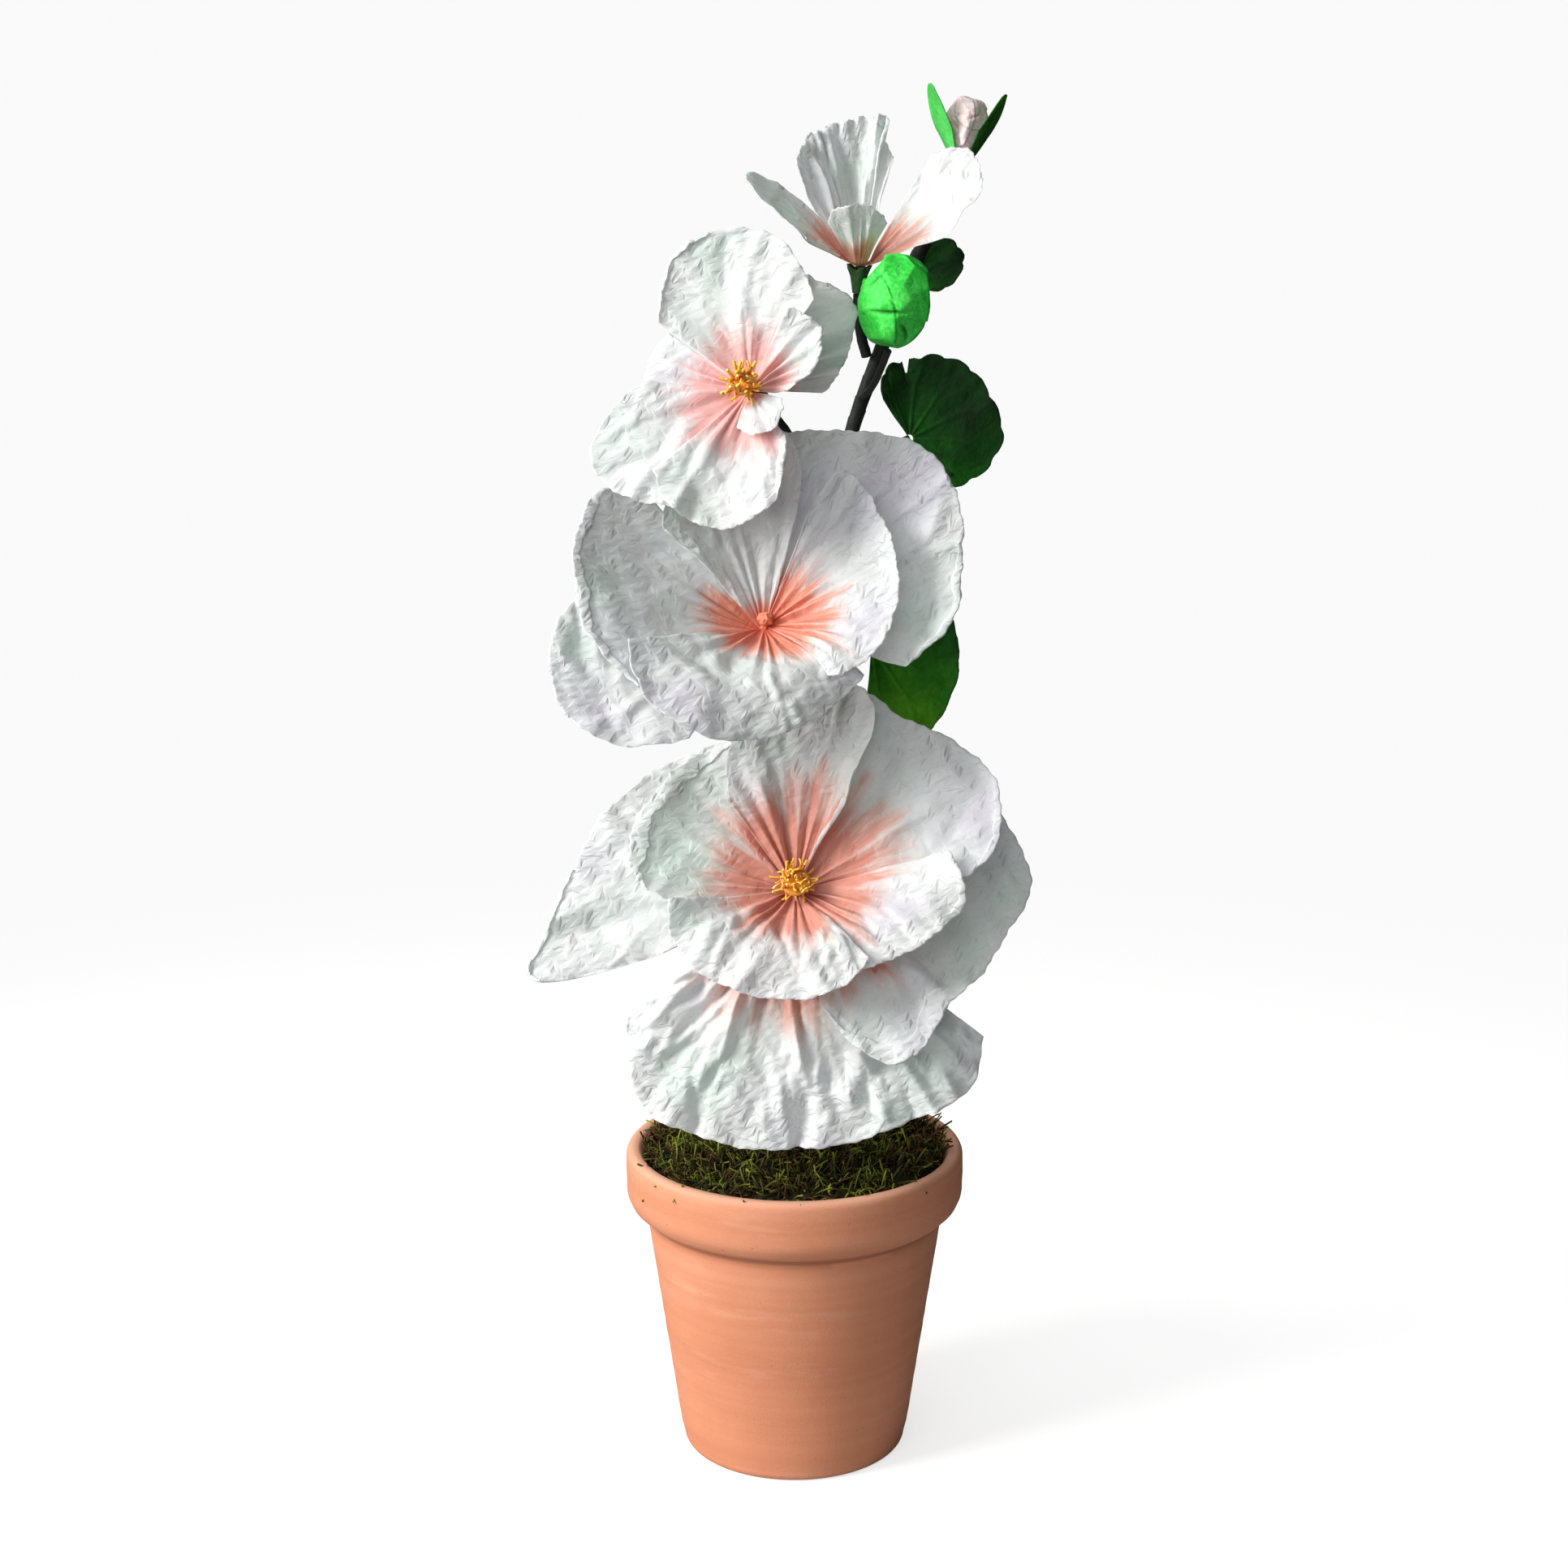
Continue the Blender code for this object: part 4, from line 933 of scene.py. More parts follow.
upperBloom = {
    "place": (-0.0130, -0.033, 0.3350), "rise": 20, "turn": -12, "finish": "upperTissue",
    "style": {"pleats": 15, "pleatHeight": 0.9, "pleatEnd": 28.0, "seed": 37},
    "petals": {
        "back": dict(
            layer=0,
            clock=(4, 16, 28, 40, 52, 66, 84),
            reach=(44, 47, 48, 45, 37, 30, 22),
            lift=(-26, -28, -30, -30, -30, -30, -28),
            look=dict(crush=0.5, crease=1.6, blush=16.0, spread=0.2, pleatScale=1.4, pleatEnd=1.5),
        ),
        "left": dict(
            layer=0,
            clock=(262, 276, 290, 304),
            reach=(29, 32, 32, 31),
            lift=(0, -2, -2, 0),
            look=dict(blush=24.0),
        ),
        "lower_left": dict(
            layer=1,
            clock=(206, 222, 236, 248, 260, 272),
            reach=(42, 48, 51, 47, 39, 29),
            lift=(14, 14, 14, 13, 12, 10),
            look=dict(crush=1.0, creases=0.02, blush=26.0),
        ),
        "top": dict(
            layer=1,
            clock=(-56, -42, -28, -12, 4, 20, 36),
            reach=(33, 41, 46, 47, 46, 40, 32),
            lift=(12, 10, 10, 10, 10, 12, 14),
            look=dict(crush=0.8, creases=0.016, blush=23.0, spread=0.3, hems=(("tip", 0.0, 0.45, 1.6),)),
        ),
        "bottom": dict(
            layer=2,
            clock=(138, 154, 170, 188, 206, 222),
            reach=(20, 31, 40, 43, 43, 38),
            lift=(16, 14, 12, 10, 10, 12),
            look=dict(crush=1.0, creases=0.022, crease=1.3, blush=26.0, hems=(("tip", 0.05, 0.6, 3.6),)),
        ),
        "right": dict(
            layer=2,
            clock=(28, 42, 56, 70, 84, 98),
            reach=(28, 29, 28, 25, 20, 15),
            lift=(26, 20, 18, 18, 20, 26),
            look=dict(crush=0.8, creases=0.02, blush=20.0, pleatScale=1.4, hems=(("tip", 0.1, 0.9, 1.8),)),
        ),
        "front": dict(
            layer=3,
            clock=(108, 128, 148, 168, 186),
            reach=(15, 18, 20, 19, 16),
            lift=(38, 36, 35, 36, 38),
            curl=-30,
            look=dict(crush=0.5, blush=9.0, pleatScale=0.5, creases=0.006),
        ),
    },
}

topBloom = {
    "place": (0.0182, -0.008, 0.3697), "rise": 80, "turn": 0, "finish": "topTissue",
    "style": {"pleats": 15, "pleatHeight": 0.8, "pleatEnd": 26.0, "seed": 41},
    "petals": {
        "right": dict(
            layer=0,
            clock=(56, 70, 86, 102, 118),
            reach=(40, 46, 46, 41, 32),
            lift=(54, 48, 42, 34, 26),
            look=dict(crush=0.5, blush=26.0, spread=0.35),
        ),
        "back": dict(
            layer=2,
            clock=(-80, -56, -28, 0, 26, 44),
            reach=(36, 41, 44, 46, 46, 40),
            lift=(62, 62, 63, 65, 66, 66),
            look=dict(crush=0.9, crease=1.5, creases=0.03, spread=0.15, blush=17.0, pleatScale=1.8, pleatEnd=2.2, steps=((0.84, 1.1, 7.0),)),
        ),
        "left": dict(
            layer=1,
            clock=(236, 252, 268, 284, 296),
            reach=(22, 34, 43, 33, 22),
            lift=(28, 35, 42, 48, 52),
            look=dict(crush=0.6, blush=24.0, hems=(("first", 0.2, 1.0, 5.0),)),
        ),
        "front": dict(
            layer=1,
            clock=(138, 160, 184, 208, 230),
            reach=(20, 25, 27, 26, 20),
            lift=(58, 60, 62, 60, 56),
            look=dict(crush=0.6, blush=15.0, creases=0.03),
        ),
    },
}


def buildBloom(prefix, bloom):
    matrix = bloomMatrix(bloom["place"], bloom["rise"], bloom["turn"])
    laid = []
    for number, (name, spec) in enumerate(bloom["petals"].items()):
        shape = {key: value for key, value in spec.items() if key != "look"}
        sheet = Sheet(below=[other for other in laid if other.layer < spec["layer"]], **shape)
        sheet.settle(paper["start"])
        node = f"{prefix}_petal_{name}"
        look = {**defaultLook, **spec["look"]}
        seed = bloom["style"]["seed"] * 10 + number
        paperPiece(f"{node}_paper", sheet, look, bloom["style"], seed, matrix, bloom["finish"], "tissue", node)
        laid.append(sheet)
    report(f"{prefix} bloom laid, {len(laid)} petals")


for bloomName, bloomSpec in {"bottom": bottomBloom, "middle": middleBloom, "upper": upperBloom, "top": topBloom}.items():
    buildBloom(bloomName, bloomSpec)


leaves = {
    "upper_leaf": dict(
        frame=((0.0345, 0.020, 0.3160), 8, 10), finish="darkLeaf", slot="dark_leaf", veins=7, scallops=((11, 1.3), (1, 0.0)),
        clock=(-36, -18, 0, 20, 42, 66, 90, 114, 140, 165),
        reach=(16, 23, 24, 27, 29, 29, 30, 26, 20, 14),
        lift=(10, 4, 0, 0, 0, 0, 0, 0, 4, 10),
        steps=((0.205, 0.225, 4.0),),
    ),
    "lower_leaf": dict(
        frame=((0.0235, 0.016, 0.2530), 4, 14), finish="brightLeaf", slot="bright_leaf", veins=6, scallops=((9, 0.5),),
        clock=(20, 44, 68, 92, 114, 134, 152, 170, 188),
        reach=(18, 24, 27, 28, 30, 32, 33, 26, 16),
        lift=(10, 4, 0, 0, 0, 0, 0, 4, 10),
        steps=(),
    ),
    "top_leaf": dict(
        frame=((0.0340, 0.0150, 0.3640), 6, 6), finish="darkLeaf", slot="dark_leaf", veins=5, scallops=((7, 1.0),),
        clock=(0, 24, 46, 66, 84, 104, 124),
        reach=(8, 12, 17, 18, 16, 12, 8),
        lift=(8, 2, 0, 0, 0, 2, 8),
        steps=(),
    ),
}
leafStyle = {"pleats": 9, "pleatHeight": 0.0, "pleatEnd": 20.0, "seed": 5}
for number, (leafName, leaf) in enumerate(leaves.items()):
    leafSheet = Sheet(0, leaf["clock"], leaf["reach"], leaf["lift"])
    leafSheet.settle(1.2 * mm)
    leafLook = {**defaultLook, "crush": 0.5, "crease": 0.5, "ruffle": 1.1, "ragged": 0.5, "veins": leaf["veins"], "scallops": leaf["scallops"], "steps": leaf["steps"]}
    paperPiece(f"{leafName}_paper", leafSheet, leafLook, leafStyle, 70 + number, bloomMatrix(*leaf["frame"]), leaf["finish"], leaf["slot"], leafName, 0.35 * mm)
report("leaves cut")

budCup = bloomMatrix((0.0486, 0.0105, 0.4000), 84, 90)
sepals = {
    "left_sepal": (-32, 25.5, 57, "greenSepal", "green_paper"),
    "right_sepal": (212, 24, 60, "darkLeaf", "dark_leaf"),
    "back_sepal": (90, 21, 60, "darkLeaf", "dark_leaf"),
}
sepalLook = {**defaultLook, "crush": 0.2, "crease": 0.3, "ruffle": 0.2, "ragged": 0.2, "veins": 1}
for number, (sepalName, (clockMiddle, sepalReach, sepalLift, sepalFinish, sepalSlot)) in enumerate(sepals.items()):
    rays = (clockMiddle - 30, clockMiddle, clockMiddle + 30)
    sepalSheet = Sheet(0, rays, (12, sepalReach, 12), (sepalLift, sepalLift + 4, sepalLift), curl=(0, 4, 0))
    sepalSheet.settle(3.9 * mm)
    sepalNode = f"bud_{sepalName}"
    paperPiece(f"{sepalNode}_paper", sepalSheet, sepalLook, leafStyle, 90 + number, budCup, sepalFinish, sepalSlot, sepalNode, 0.35 * mm)


def arc(centre, radius, start, end, count):
    angles = np.radians(np.linspace(start, end, count))
    return [(centre[0] + radius * math.cos(a), centre[1] + radius * math.sin(a)) for a in angles]


def turnedForm(profile, steps, shape, closed, marksOf=None):
    # spins a profile of (radius, height) points, which runs up the inside and down the outside;
    # shape(radius, height, angle) may push each point about. Ends on the axis close in one point.
    points = np.array(profile, float)
    angle = np.linspace(0, turnFull, steps, endpoint=False)
    r, a = np.meshgrid(points[:, 0], angle, indexing="ij")
    z = np.meshgrid(points[:, 1], angle, indexing="ij")[0]
    newR, newZ = shape(r, z, a)
    grid = np.stack([newR * np.cos(a), newR * np.sin(a), newZ], axis=-1)
    count = len(points)
    index = np.arange(count * steps).reshape(count, steps)
    if not closed:
        index[0, :] = index[0, 0]
        index[-1, :] = index[-1, 0]
    wrap = index if not closed else np.concatenate([index, index[:1]])
    faces = []
    for row in range(len(wrap) - 1):
        here, there = wrap[row], wrap[row + 1]
        for column in range(steps):
            nextColumn = (column + 1) % steps
            ring = [here[column], there[column], there[nextColumn], here[nextColumn]]
            face = []
            for corner in ring:
                if int(corner) not in face:
                    face.append(int(corner))
            if len(face) > 2:
                faces.append(face)
    used = np.unique(index)
    renumber = {int(old): new for new, old in enumerate(used)}
    faces = [[renumber[corner] for corner in face] for face in faces]
    marks = marksOf(newR, newZ, a).reshape(count * steps, 3)[used] if marksOf else np.zeros((len(used), 3))
    piece = PieceMesh()
    piece.add(grid.reshape(-1, 3)[used], faces, {"marks": marks})
    return piece


def refine(profile, step):
    # puts extra points along a profile's long stretches
    result = [profile[0]]
    for (r0, z0), (r1, z1) in zip(profile[:-1], profile[1:]):
        parts = max(1, int(math.hypot(r1 - r0, z1 - z0) / step))
        result += [(r0 + (r1 - r0) * k / parts, z0 + (z1 - z0) * k / parts) for k in range(1, parts + 1)]
    return result


pot = {
    "height": potHigh[2] - potLow[2],
    "rimRadius": (potHigh[0] - potLow[0]) / 2,
    "band": 14.5 * mm,
    "creaseZ": 77.5 * mm,
    "creaseRadius": 46.4 * mm,
    "footRadius": 35.0 * mm,
    "wall": 6.0 * mm,
    "rimWall": 5.0 * mm,
    "floor": 8.0 * mm,
    "fillet": 3.0 * mm,
    "drain": 6.0 * mm,
    "lip": 2.2 * mm,
    "steps": 168,
}


def innerRadius(height):
    slope = (pot["rimRadius"] - pot["rimWall"] - (pot["footRadius"] - pot["wall"])) / (pot["height"] - pot["floor"])
    return pot["footRadius"] - pot["wall"] + slope * (height - pot["floor"])


def buildPot():
    lip, top, rim = pot["lip"], pot["height"], pot["rimRadius"]
    low = top - pot["band"]
    profile = [(pot["drain"], pot["floor"]), (innerRadius(pot["floor"]), pot["floor"])]
    profile += [(innerRadius(top - lip), top - lip), (innerRadius(top) + 0.5 * mm, top - 0.6 * mm)]
    profile += [(innerRadius(top) + 1.3 * mm, top)]
    profile += arc((rim - lip, top - lip), lip, 90, 0, 7)
    profile += [(rim, low + 1.5 * mm), (rim - 0.3 * mm, low), (rim - 1.4 * mm, low - 2.4 * mm), (rim - 3.6 * mm, low - 4.6 * mm)]
    profile += [(pot["creaseRadius"] + 0.55 * mm, pot["creaseZ"] + 0.5 * mm), (pot["creaseRadius"] - 0.1 * mm, pot["creaseZ"] - 0.6 * mm)]
    profile += [(pot["creaseRadius"] - 0.35 * mm, pot["creaseZ"] - 1.6 * mm), (pot["footRadius"] + 1.0 * mm, 7.0 * mm)]
    profile += arc((pot["footRadius"] - pot["fillet"], pot["fillet"]), pot["fillet"], 0, -90, 7)
    profile += [(pot["drain"], 0.0)]
    rng = np.random.default_rng(4)
    ringHeights = np.linspace(0, top, 90)
    ringDepths = np.convolve(rng.normal(0, 1, 90), (0.25, 0.5, 0.25), "same") * 0.07 * mm

    def shape(r, z, a):
        outside = (r > innerRadius(z) + 2.0 * mm) & (z > 4 * mm) & (z < top - 1 * mm)
        rings = np.interp(z + 0.0005 * np.sin(a + 1.0), ringHeights, ringDepths)
        swell = 0.10 * mm * np.sin(2 * a + 0.6) * (z / top)
        return r + np.where(outside, rings, 0.0) + np.where(z > 4 * mm, swell, 0.0), z

    def marksOf(r, z, a):
        # marks: painted shade along the crease under the rim band, painted highlight along the top of the rim
        crease = np.exp(-((z - pot["creaseZ"] + 0.4 * mm) / (1.3 * mm)) ** 2) * (r > innerRadius(z) + 3 * mm)
        paintedRimHighlight = np.clip((z - top + 1.6 * mm) / (1.6 * mm), 0, 1) * (r > rim - 4.5 * mm)
        return np.stack([crease, paintedRimHighlight, np.zeros_like(r)], axis=-1)

    piece = turnedForm(refine(profile, 1.6 * mm), pot["steps"], shape, True, marksOf)
    keep("pot_clay", piece.make("pot_clay", Matrix.Translation(potAxis)), "terracotta", "terracotta", "pot")


buildPot()
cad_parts["foam_plug"].data.materials.clear()
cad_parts["foam_plug"].data.materials.append(finishes["foam"])
report("pot turned")


def startTree(name, sockets):
    tree = bpy.data.node_groups.new(name, "GeometryNodeTree")
    tree.interface.new_socket(name="Base", in_out="INPUT", socket_type="NodeSocketGeometry")
    for label, (kind, value) in sockets.items():
        made = tree.interface.new_socket(name=label, in_out="INPUT", socket_type=kind)
        made.default_value = value
    tree.interface.new_socket(name="Result", in_out="OUTPUT", socket_type="NodeSocketGeometry")
    return tree, tree.nodes.new("NodeGroupInput"), tree.nodes.new("NodeGroupOutput")


def storeFloat(tree, geometry, label, value, domain="POINT"):
    settings = {"data_type": "FLOAT", "domain": domain}
    return addNode(tree, "GeometryNodeStoreNamedAttribute", settings, {"Geometry": geometry, "Name": label, "Value": value}).outputs[0]


def finishTree(tree, geometry, result, material):
    # every tree ends in real geometry with its own material
    real = addNode(tree, "GeometryNodeRealizeInstances", None, {"Geometry": geometry})
    coloured = addNode(tree, "GeometryNodeSetMaterial", None, {"Geometry": real.outputs[0], "Material": material})
    tree.links.new(coloured.outputs[0], result.inputs[0])


def runTree(name, mesh, tree, values):
    # runs a tree on a mesh and gives back the plain result
    holder = bpy.data.objects.new(name, mesh)
    bpy.context.scene.collection.objects.link(holder)
    modifier = holder.modifiers.new("nodes", "NODES")
    modifier.node_group = tree
    for socket in tree.interface.items_tree:
        if socket.item_type == "SOCKET" and socket.in_out == "INPUT" and socket.name in values:
            modifier[socket.identifier] = values[socket.name]
    bpy.context.view_layer.update()
    made = bpy.data.meshes.new_from_object(holder.evaluated_get(bpy.context.evaluated_depsgraph_get()))
    made.name = name
    bpy.data.objects.remove(holder, do_unlink=True)
    return made


def strandCurve(tree, middle, end, points, radius, sides, taper):
    # one fibre: a bent curve swept with a small round section, thinner at its tip
    curve = addNode(tree, "GeometryNodeCurveQuadraticBezier", None, {"Resolution": points, "Start": (0.0, 0.0, 0.0), "Middle": middle, "End": end})
    along = addNode(tree, "GeometryNodeSplineParameter").outputs["Factor"]
    marked = storeFloat(tree, curve.outputs[0], "strand", along)
    width = levels(tree, along, 0.0, 1.0, 1.0, taper)
    sized = addNode(tree, "GeometryNodeSetCurveRadius", None, {"Curve": marked, "Radius": width})
    section = addNode(tree, "GeometryNodeCurvePrimitiveCircle", None, {"Resolution": sides, "Radius": radius})
    sockets = {"Curve": sized.outputs[0], "Profile Curve": section.outputs[0], "Fill Caps": True}
    return addNode(tree, "GeometryNodeCurveToMesh", None, sockets).outputs[0]


def scatterTree(name, strands, material, keepBase, tilt, smallest, upOnly):
    # strands of several forms set at random over a base, standing off its surface
    tree, given, result = startTree(name, {
        "Density": ("NodeSocketFloat", 1000.0),
        "Length": ("NodeSocketFloat", 1.0),
        "Seed": ("NodeSocketInt", 1),
    })
    normal = addNode(tree, "GeometryNodeInputNormal").outputs[0]
    height = addNode(tree, "ShaderNodeSeparateXYZ", None, {0: normal}).outputs["Z"]
    picked = addNode(tree, "FunctionNodeCompare", {"data_type": "FLOAT", "operation": "GREATER_THAN"}, {0: height, 1: upOnly})
    sockets = {"Mesh": given.outputs["Base"], "Selection": picked.outputs[0], "Density": given.outputs["Density"], "Seed": given.outputs["Seed"]}
    spread = addNode(tree, "GeometryNodeDistributePointsOnFaces", None, sockets)
    joined = addNode(tree, "GeometryNodeGeometryToInstance")
    for strand in strands:
        tree.links.new(strandCurve(tree, **strand), joined.inputs[0])
    lean = addNode(tree, "FunctionNodeRandomValue", {"data_type": "FLOAT_VECTOR"}, {0: (-tilt, -tilt, -3.2), 1: (tilt, tilt, 3.2), "Seed": given.outputs["Seed"]})
    turned = addNode(tree, "FunctionNodeEulerToRotation", None, {0: lean.outputs[0]})
    facing = addNode(tree, "FunctionNodeRotateRotation", {"rotation_space": "LOCAL"}, {0: spread.outputs["Rotation"], 1: turned.outputs[0]})
    size = addNode(tree, "FunctionNodeRandomValue", {"data_type": "FLOAT"}, {2: smallest, 3: 1.3, "Seed": given.outputs["Seed"]})
    scale = maths(tree, "MULTIPLY", size.outputs[1], given.outputs["Length"])
    sockets = {"Points": spread.outputs["Points"], "Instance": joined.outputs[0], "Pick Instance": True, "Rotation": facing.outputs[0], "Scale": scale}
    placed = addNode(tree, "GeometryNodeInstanceOnPoints", None, sockets)
    chance = addNode(tree, "FunctionNodeRandomValue", {"data_type": "FLOAT"}, {2: 0.0, 3: 1.0, "Seed": 7})
    tinted = storeFloat(tree, placed.outputs[0], "tint", chance.outputs[1], "INSTANCE")
    everything = addNode(tree, "GeometryNodeJoinGeometry")
    tree.links.new(tinted, everything.inputs[0])
    if keepBase:
        tree.links.new(given.outputs["Base"], everything.inputs[0])
    finishTree(tree, everything.outputs[0], result, material)
    return tree


mossSpec = {
    "bottom": 80.3 * mm,
    "edgeZ": 97.5 * mm,
    "crownZ": 104.0 * mm,
    "socket": 2.4 * mm,
    "density": 560000.0,
    "length": 0.0062,
}


def buildMoss():
    edge = innerRadius(mossSpec["edgeZ"]) - 0.8 * mm
    profile = [(innerRadius(mossSpec["bottom"]) - 0.8 * mm, mossSpec["bottom"]), (edge - 0.4 * mm, mossSpec["edgeZ"] - 2.5 * mm)]
    for step in range(6, 0, -1):
        reach = step / 6.4
        profile.append((reach * edge, mossSpec["edgeZ"] + (mossSpec["crownZ"] - mossSpec["edgeZ"]) * (1 - reach**2)))
    profile += [(mossSpec["socket"], mossSpec["crownZ"]), (mossSpec["socket"], mossSpec["bottom"])]
    profile = profile[::-1]
    rng = np.random.default_rng(8)

    def shape(r, z, a):
        x, y = r * np.cos(a), r * np.sin(a)
        lumps = softWaves(x, y, np.random.default_rng(8), 21 * mm) * 1.5 + softWaves(x, y, np.random.default_rng(9), 9 * mm) * 0.9
        top = ease((z - mossSpec["edgeZ"] + 6 * mm) / (5 * mm)) * (r > mossSpec["socket"] + 0.5 * mm)
        return r, z + lumps * mm * top - 1.6 * mm * top

    piece = turnedForm(refine(profile, 2.0 * mm), 90, shape, True)
    mound = piece.make("moss_mound", Matrix.Translation(potAxis))
    count = len(mound.vertices)
    mound.attributes.new("strand", "FLOAT", "POINT").data.foreach_set("value", np.full(count, 0.15, np.float32))
    mound.attributes.new("tint", "FLOAT", "POINT").data.foreach_set("value", np.full(count, 0.4, np.float32))
    strands = [
        dict(middle=(0.10, 0.0, 0.55), end=(0.45, 0.1, 0.95), points=4, radius=0.045, sides=3, taper=0.3),
        dict(middle=(0.35, 0.15, 0.45), end=(0.95, -0.15, 0.40), points=5, radius=0.040, sides=3, taper=0.35),
        dict(middle=(-0.10, 0.45, 0.65), end=(0.25, 0.55, 0.20), points=5, radius=0.050, sides=3, taper=0.3),
    ]
    tree = scatterTree("mossStrands", strands, finishes["moss"], True, 0.9, 0.45, 0.25)
    mesh = runTree("moss_tufts", mound, tree, {"Density": mossSpec["density"], "Length": mossSpec["length"], "Seed": 12})
    keep("moss_tufts", mesh, "moss", "moss", "moss")
    report(f"moss grown, {len(mesh.polygons)} faces")


buildMoss()


def buildTuft(node, matrix, radius, low, high, bottom, density, length):
    middle = (low + high) / 2
    profile = [(0.0, high - length * 0.6), (0.5 * radius, high - length * 0.65), (0.72 * radius, middle), (0.5 * radius, low + 0.4 * mm), (1.2 * mm, low), (1.2 * mm, bottom), (0.0, bottom)]
    plain = turnedForm(refine(profile, 0.7 * mm)[::-1], 22, lambda r, z, a: (r, z), False)
    base = plain.make(f"{node}_base")
    count = len(base.vertices)
    base.attributes.new("strand", "FLOAT", "POINT").data.foreach_set("value", np.full(count, 0.3, np.float32))
    base.attributes.new("tint", "FLOAT", "POINT").data.foreach_set("value", np.full(count, 0.2, np.float32))
    strands = [
        dict(middle=(0.05, 0.0, 0.5), end=(0.25, 0.05, 1.0), points=4, radius=0.13, sides=4, taper=1.5),
        dict(middle=(0.20, 0.1, 0.5), end=(0.35, -0.25, 0.8), points=4, radius=0.11, sides=4, taper=1.9),
        dict(middle=(-0.1, 0.2, 0.6), end=(0.10, 0.35, 0.9), points=4, radius=0.12, sides=4, taper=1.7),
    ]
    tree = scatterTree(f"{node}Strands", strands, finishes["stamen"], True, 0.5, 0.6, -0.2)
    mesh = runTree(f"{node}_tuft", base, tree, {"Density": density, "Length": length, "Seed": 3})
    mesh.transform(matrix)
    keep(f"{node}_tuft", mesh, "stamen", "stamen", node)


def buildCore(node, matrix, radius, low, high, bottom):
    # a twist of coral tissue that pins the petals together
    def shape(r, z, a):
        twist = 0.18 * np.sin(5 * a + 1100 * z) + 0.10 * np.sin(9 * a - 1700 * z)
        return r * (1.0 + twist * np.clip(r / radius, 0, 1)), z + 0.25 * mm * np.sin(3 * a) * (z > low)

    middle = (low + high) / 2
    profile = [(0.0, bottom), (1.2 * mm, bottom), (1.2 * mm, low), (0.8 * radius, low + 0.6 * mm), (radius, middle), (0.7 * radius, high - 0.7 * mm), (0.0, high)]
    piece = turnedForm(refine(profile, 0.35 * mm), 40, shape, False)
    keep(f"{node}_twist", piece.make(f"{node}_twist", matrix), "coral", "coral_core", node)


def buildCup(node, matrix, radius, top, length):
    # five sepals joined in a cup, with pointed tips against the petals
    base = 1.8 * mm
    outer = [(base * 0.96, top - length), (base, top - length + 0.4 * mm), (base * 1.15, top - 0.7 * length), (radius * 0.75, top - 0.35 * length), (radius, top)]
    inner = [(radius - 0.7 * mm, top + 0.1 * mm), (radius * 0.6, top - 0.25 * length), (0.0, top - 0.4 * length)]

    def shape(r, z, a):
        share = np.clip((z - top + length) / length, 0, 1)
        lobe = np.cos(5 * a)
        ribs = 0.03 * np.cos(25 * a) * share
        return r * (1.0 + 0.17 * lobe * share**2 + ribs), z + 0.5 * mm * lobe * share**4 - 0.5 * mm * share**4

    profile = refine([(0.0, top - length)] + outer + inner, 0.5 * mm)
    piece = turnedForm(profile, 60, shape, False)
    keep(f"{node}_cup", piece.make(f"{node}_cup", matrix), "calyx", "calyx", node)


blooms = {"bottom": bottomBloom, "middle": middleBloom, "upper": upperBloom, "top": topBloom}
matrices = {name: bloomMatrix(b["place"], b["rise"], b["turn"]) for name, b in blooms.items()}
buildTuft("bottom_stamens", matrices["bottom"], 6.3 * mm, 7.2 * mm, 12 * mm, -1.2 * mm, 900000.0, 0.0028)
buildTuft("upper_stamens", matrices["upper"], 4.8 * mm, 5.5 * mm, 12 * mm, -3.0 * mm, 900000.0, 0.0032)
buildCore("middle_heart", matrices["middle"], 2.2 * mm, 3 * mm, 7 * mm, -1.2 * mm)
buildCore("top_heart", matrices["top"], 2.4 * mm, 3 * mm, 8 * mm, -0.4 * mm)
buildCup("bottom_calyx", matrices["bottom"], 4.2 * mm, -1.6 * mm, 10 * mm)
buildCup("middle_calyx", matrices["middle"], 4.2 * mm, -1.6 * mm, 10 * mm)
buildCup("upper_calyx", matrices["upper"], 4.0 * mm, -3.4 * mm, 9 * mm)
buildCup("top_calyx", matrices["top"], 3.4 * mm, -0.8 * mm, 8 * mm)
buildCup("bud_calyx", budCup, 3.2 * mm, -0.8 * mm, 3.4 * mm)
report("hearts and calyxes set")


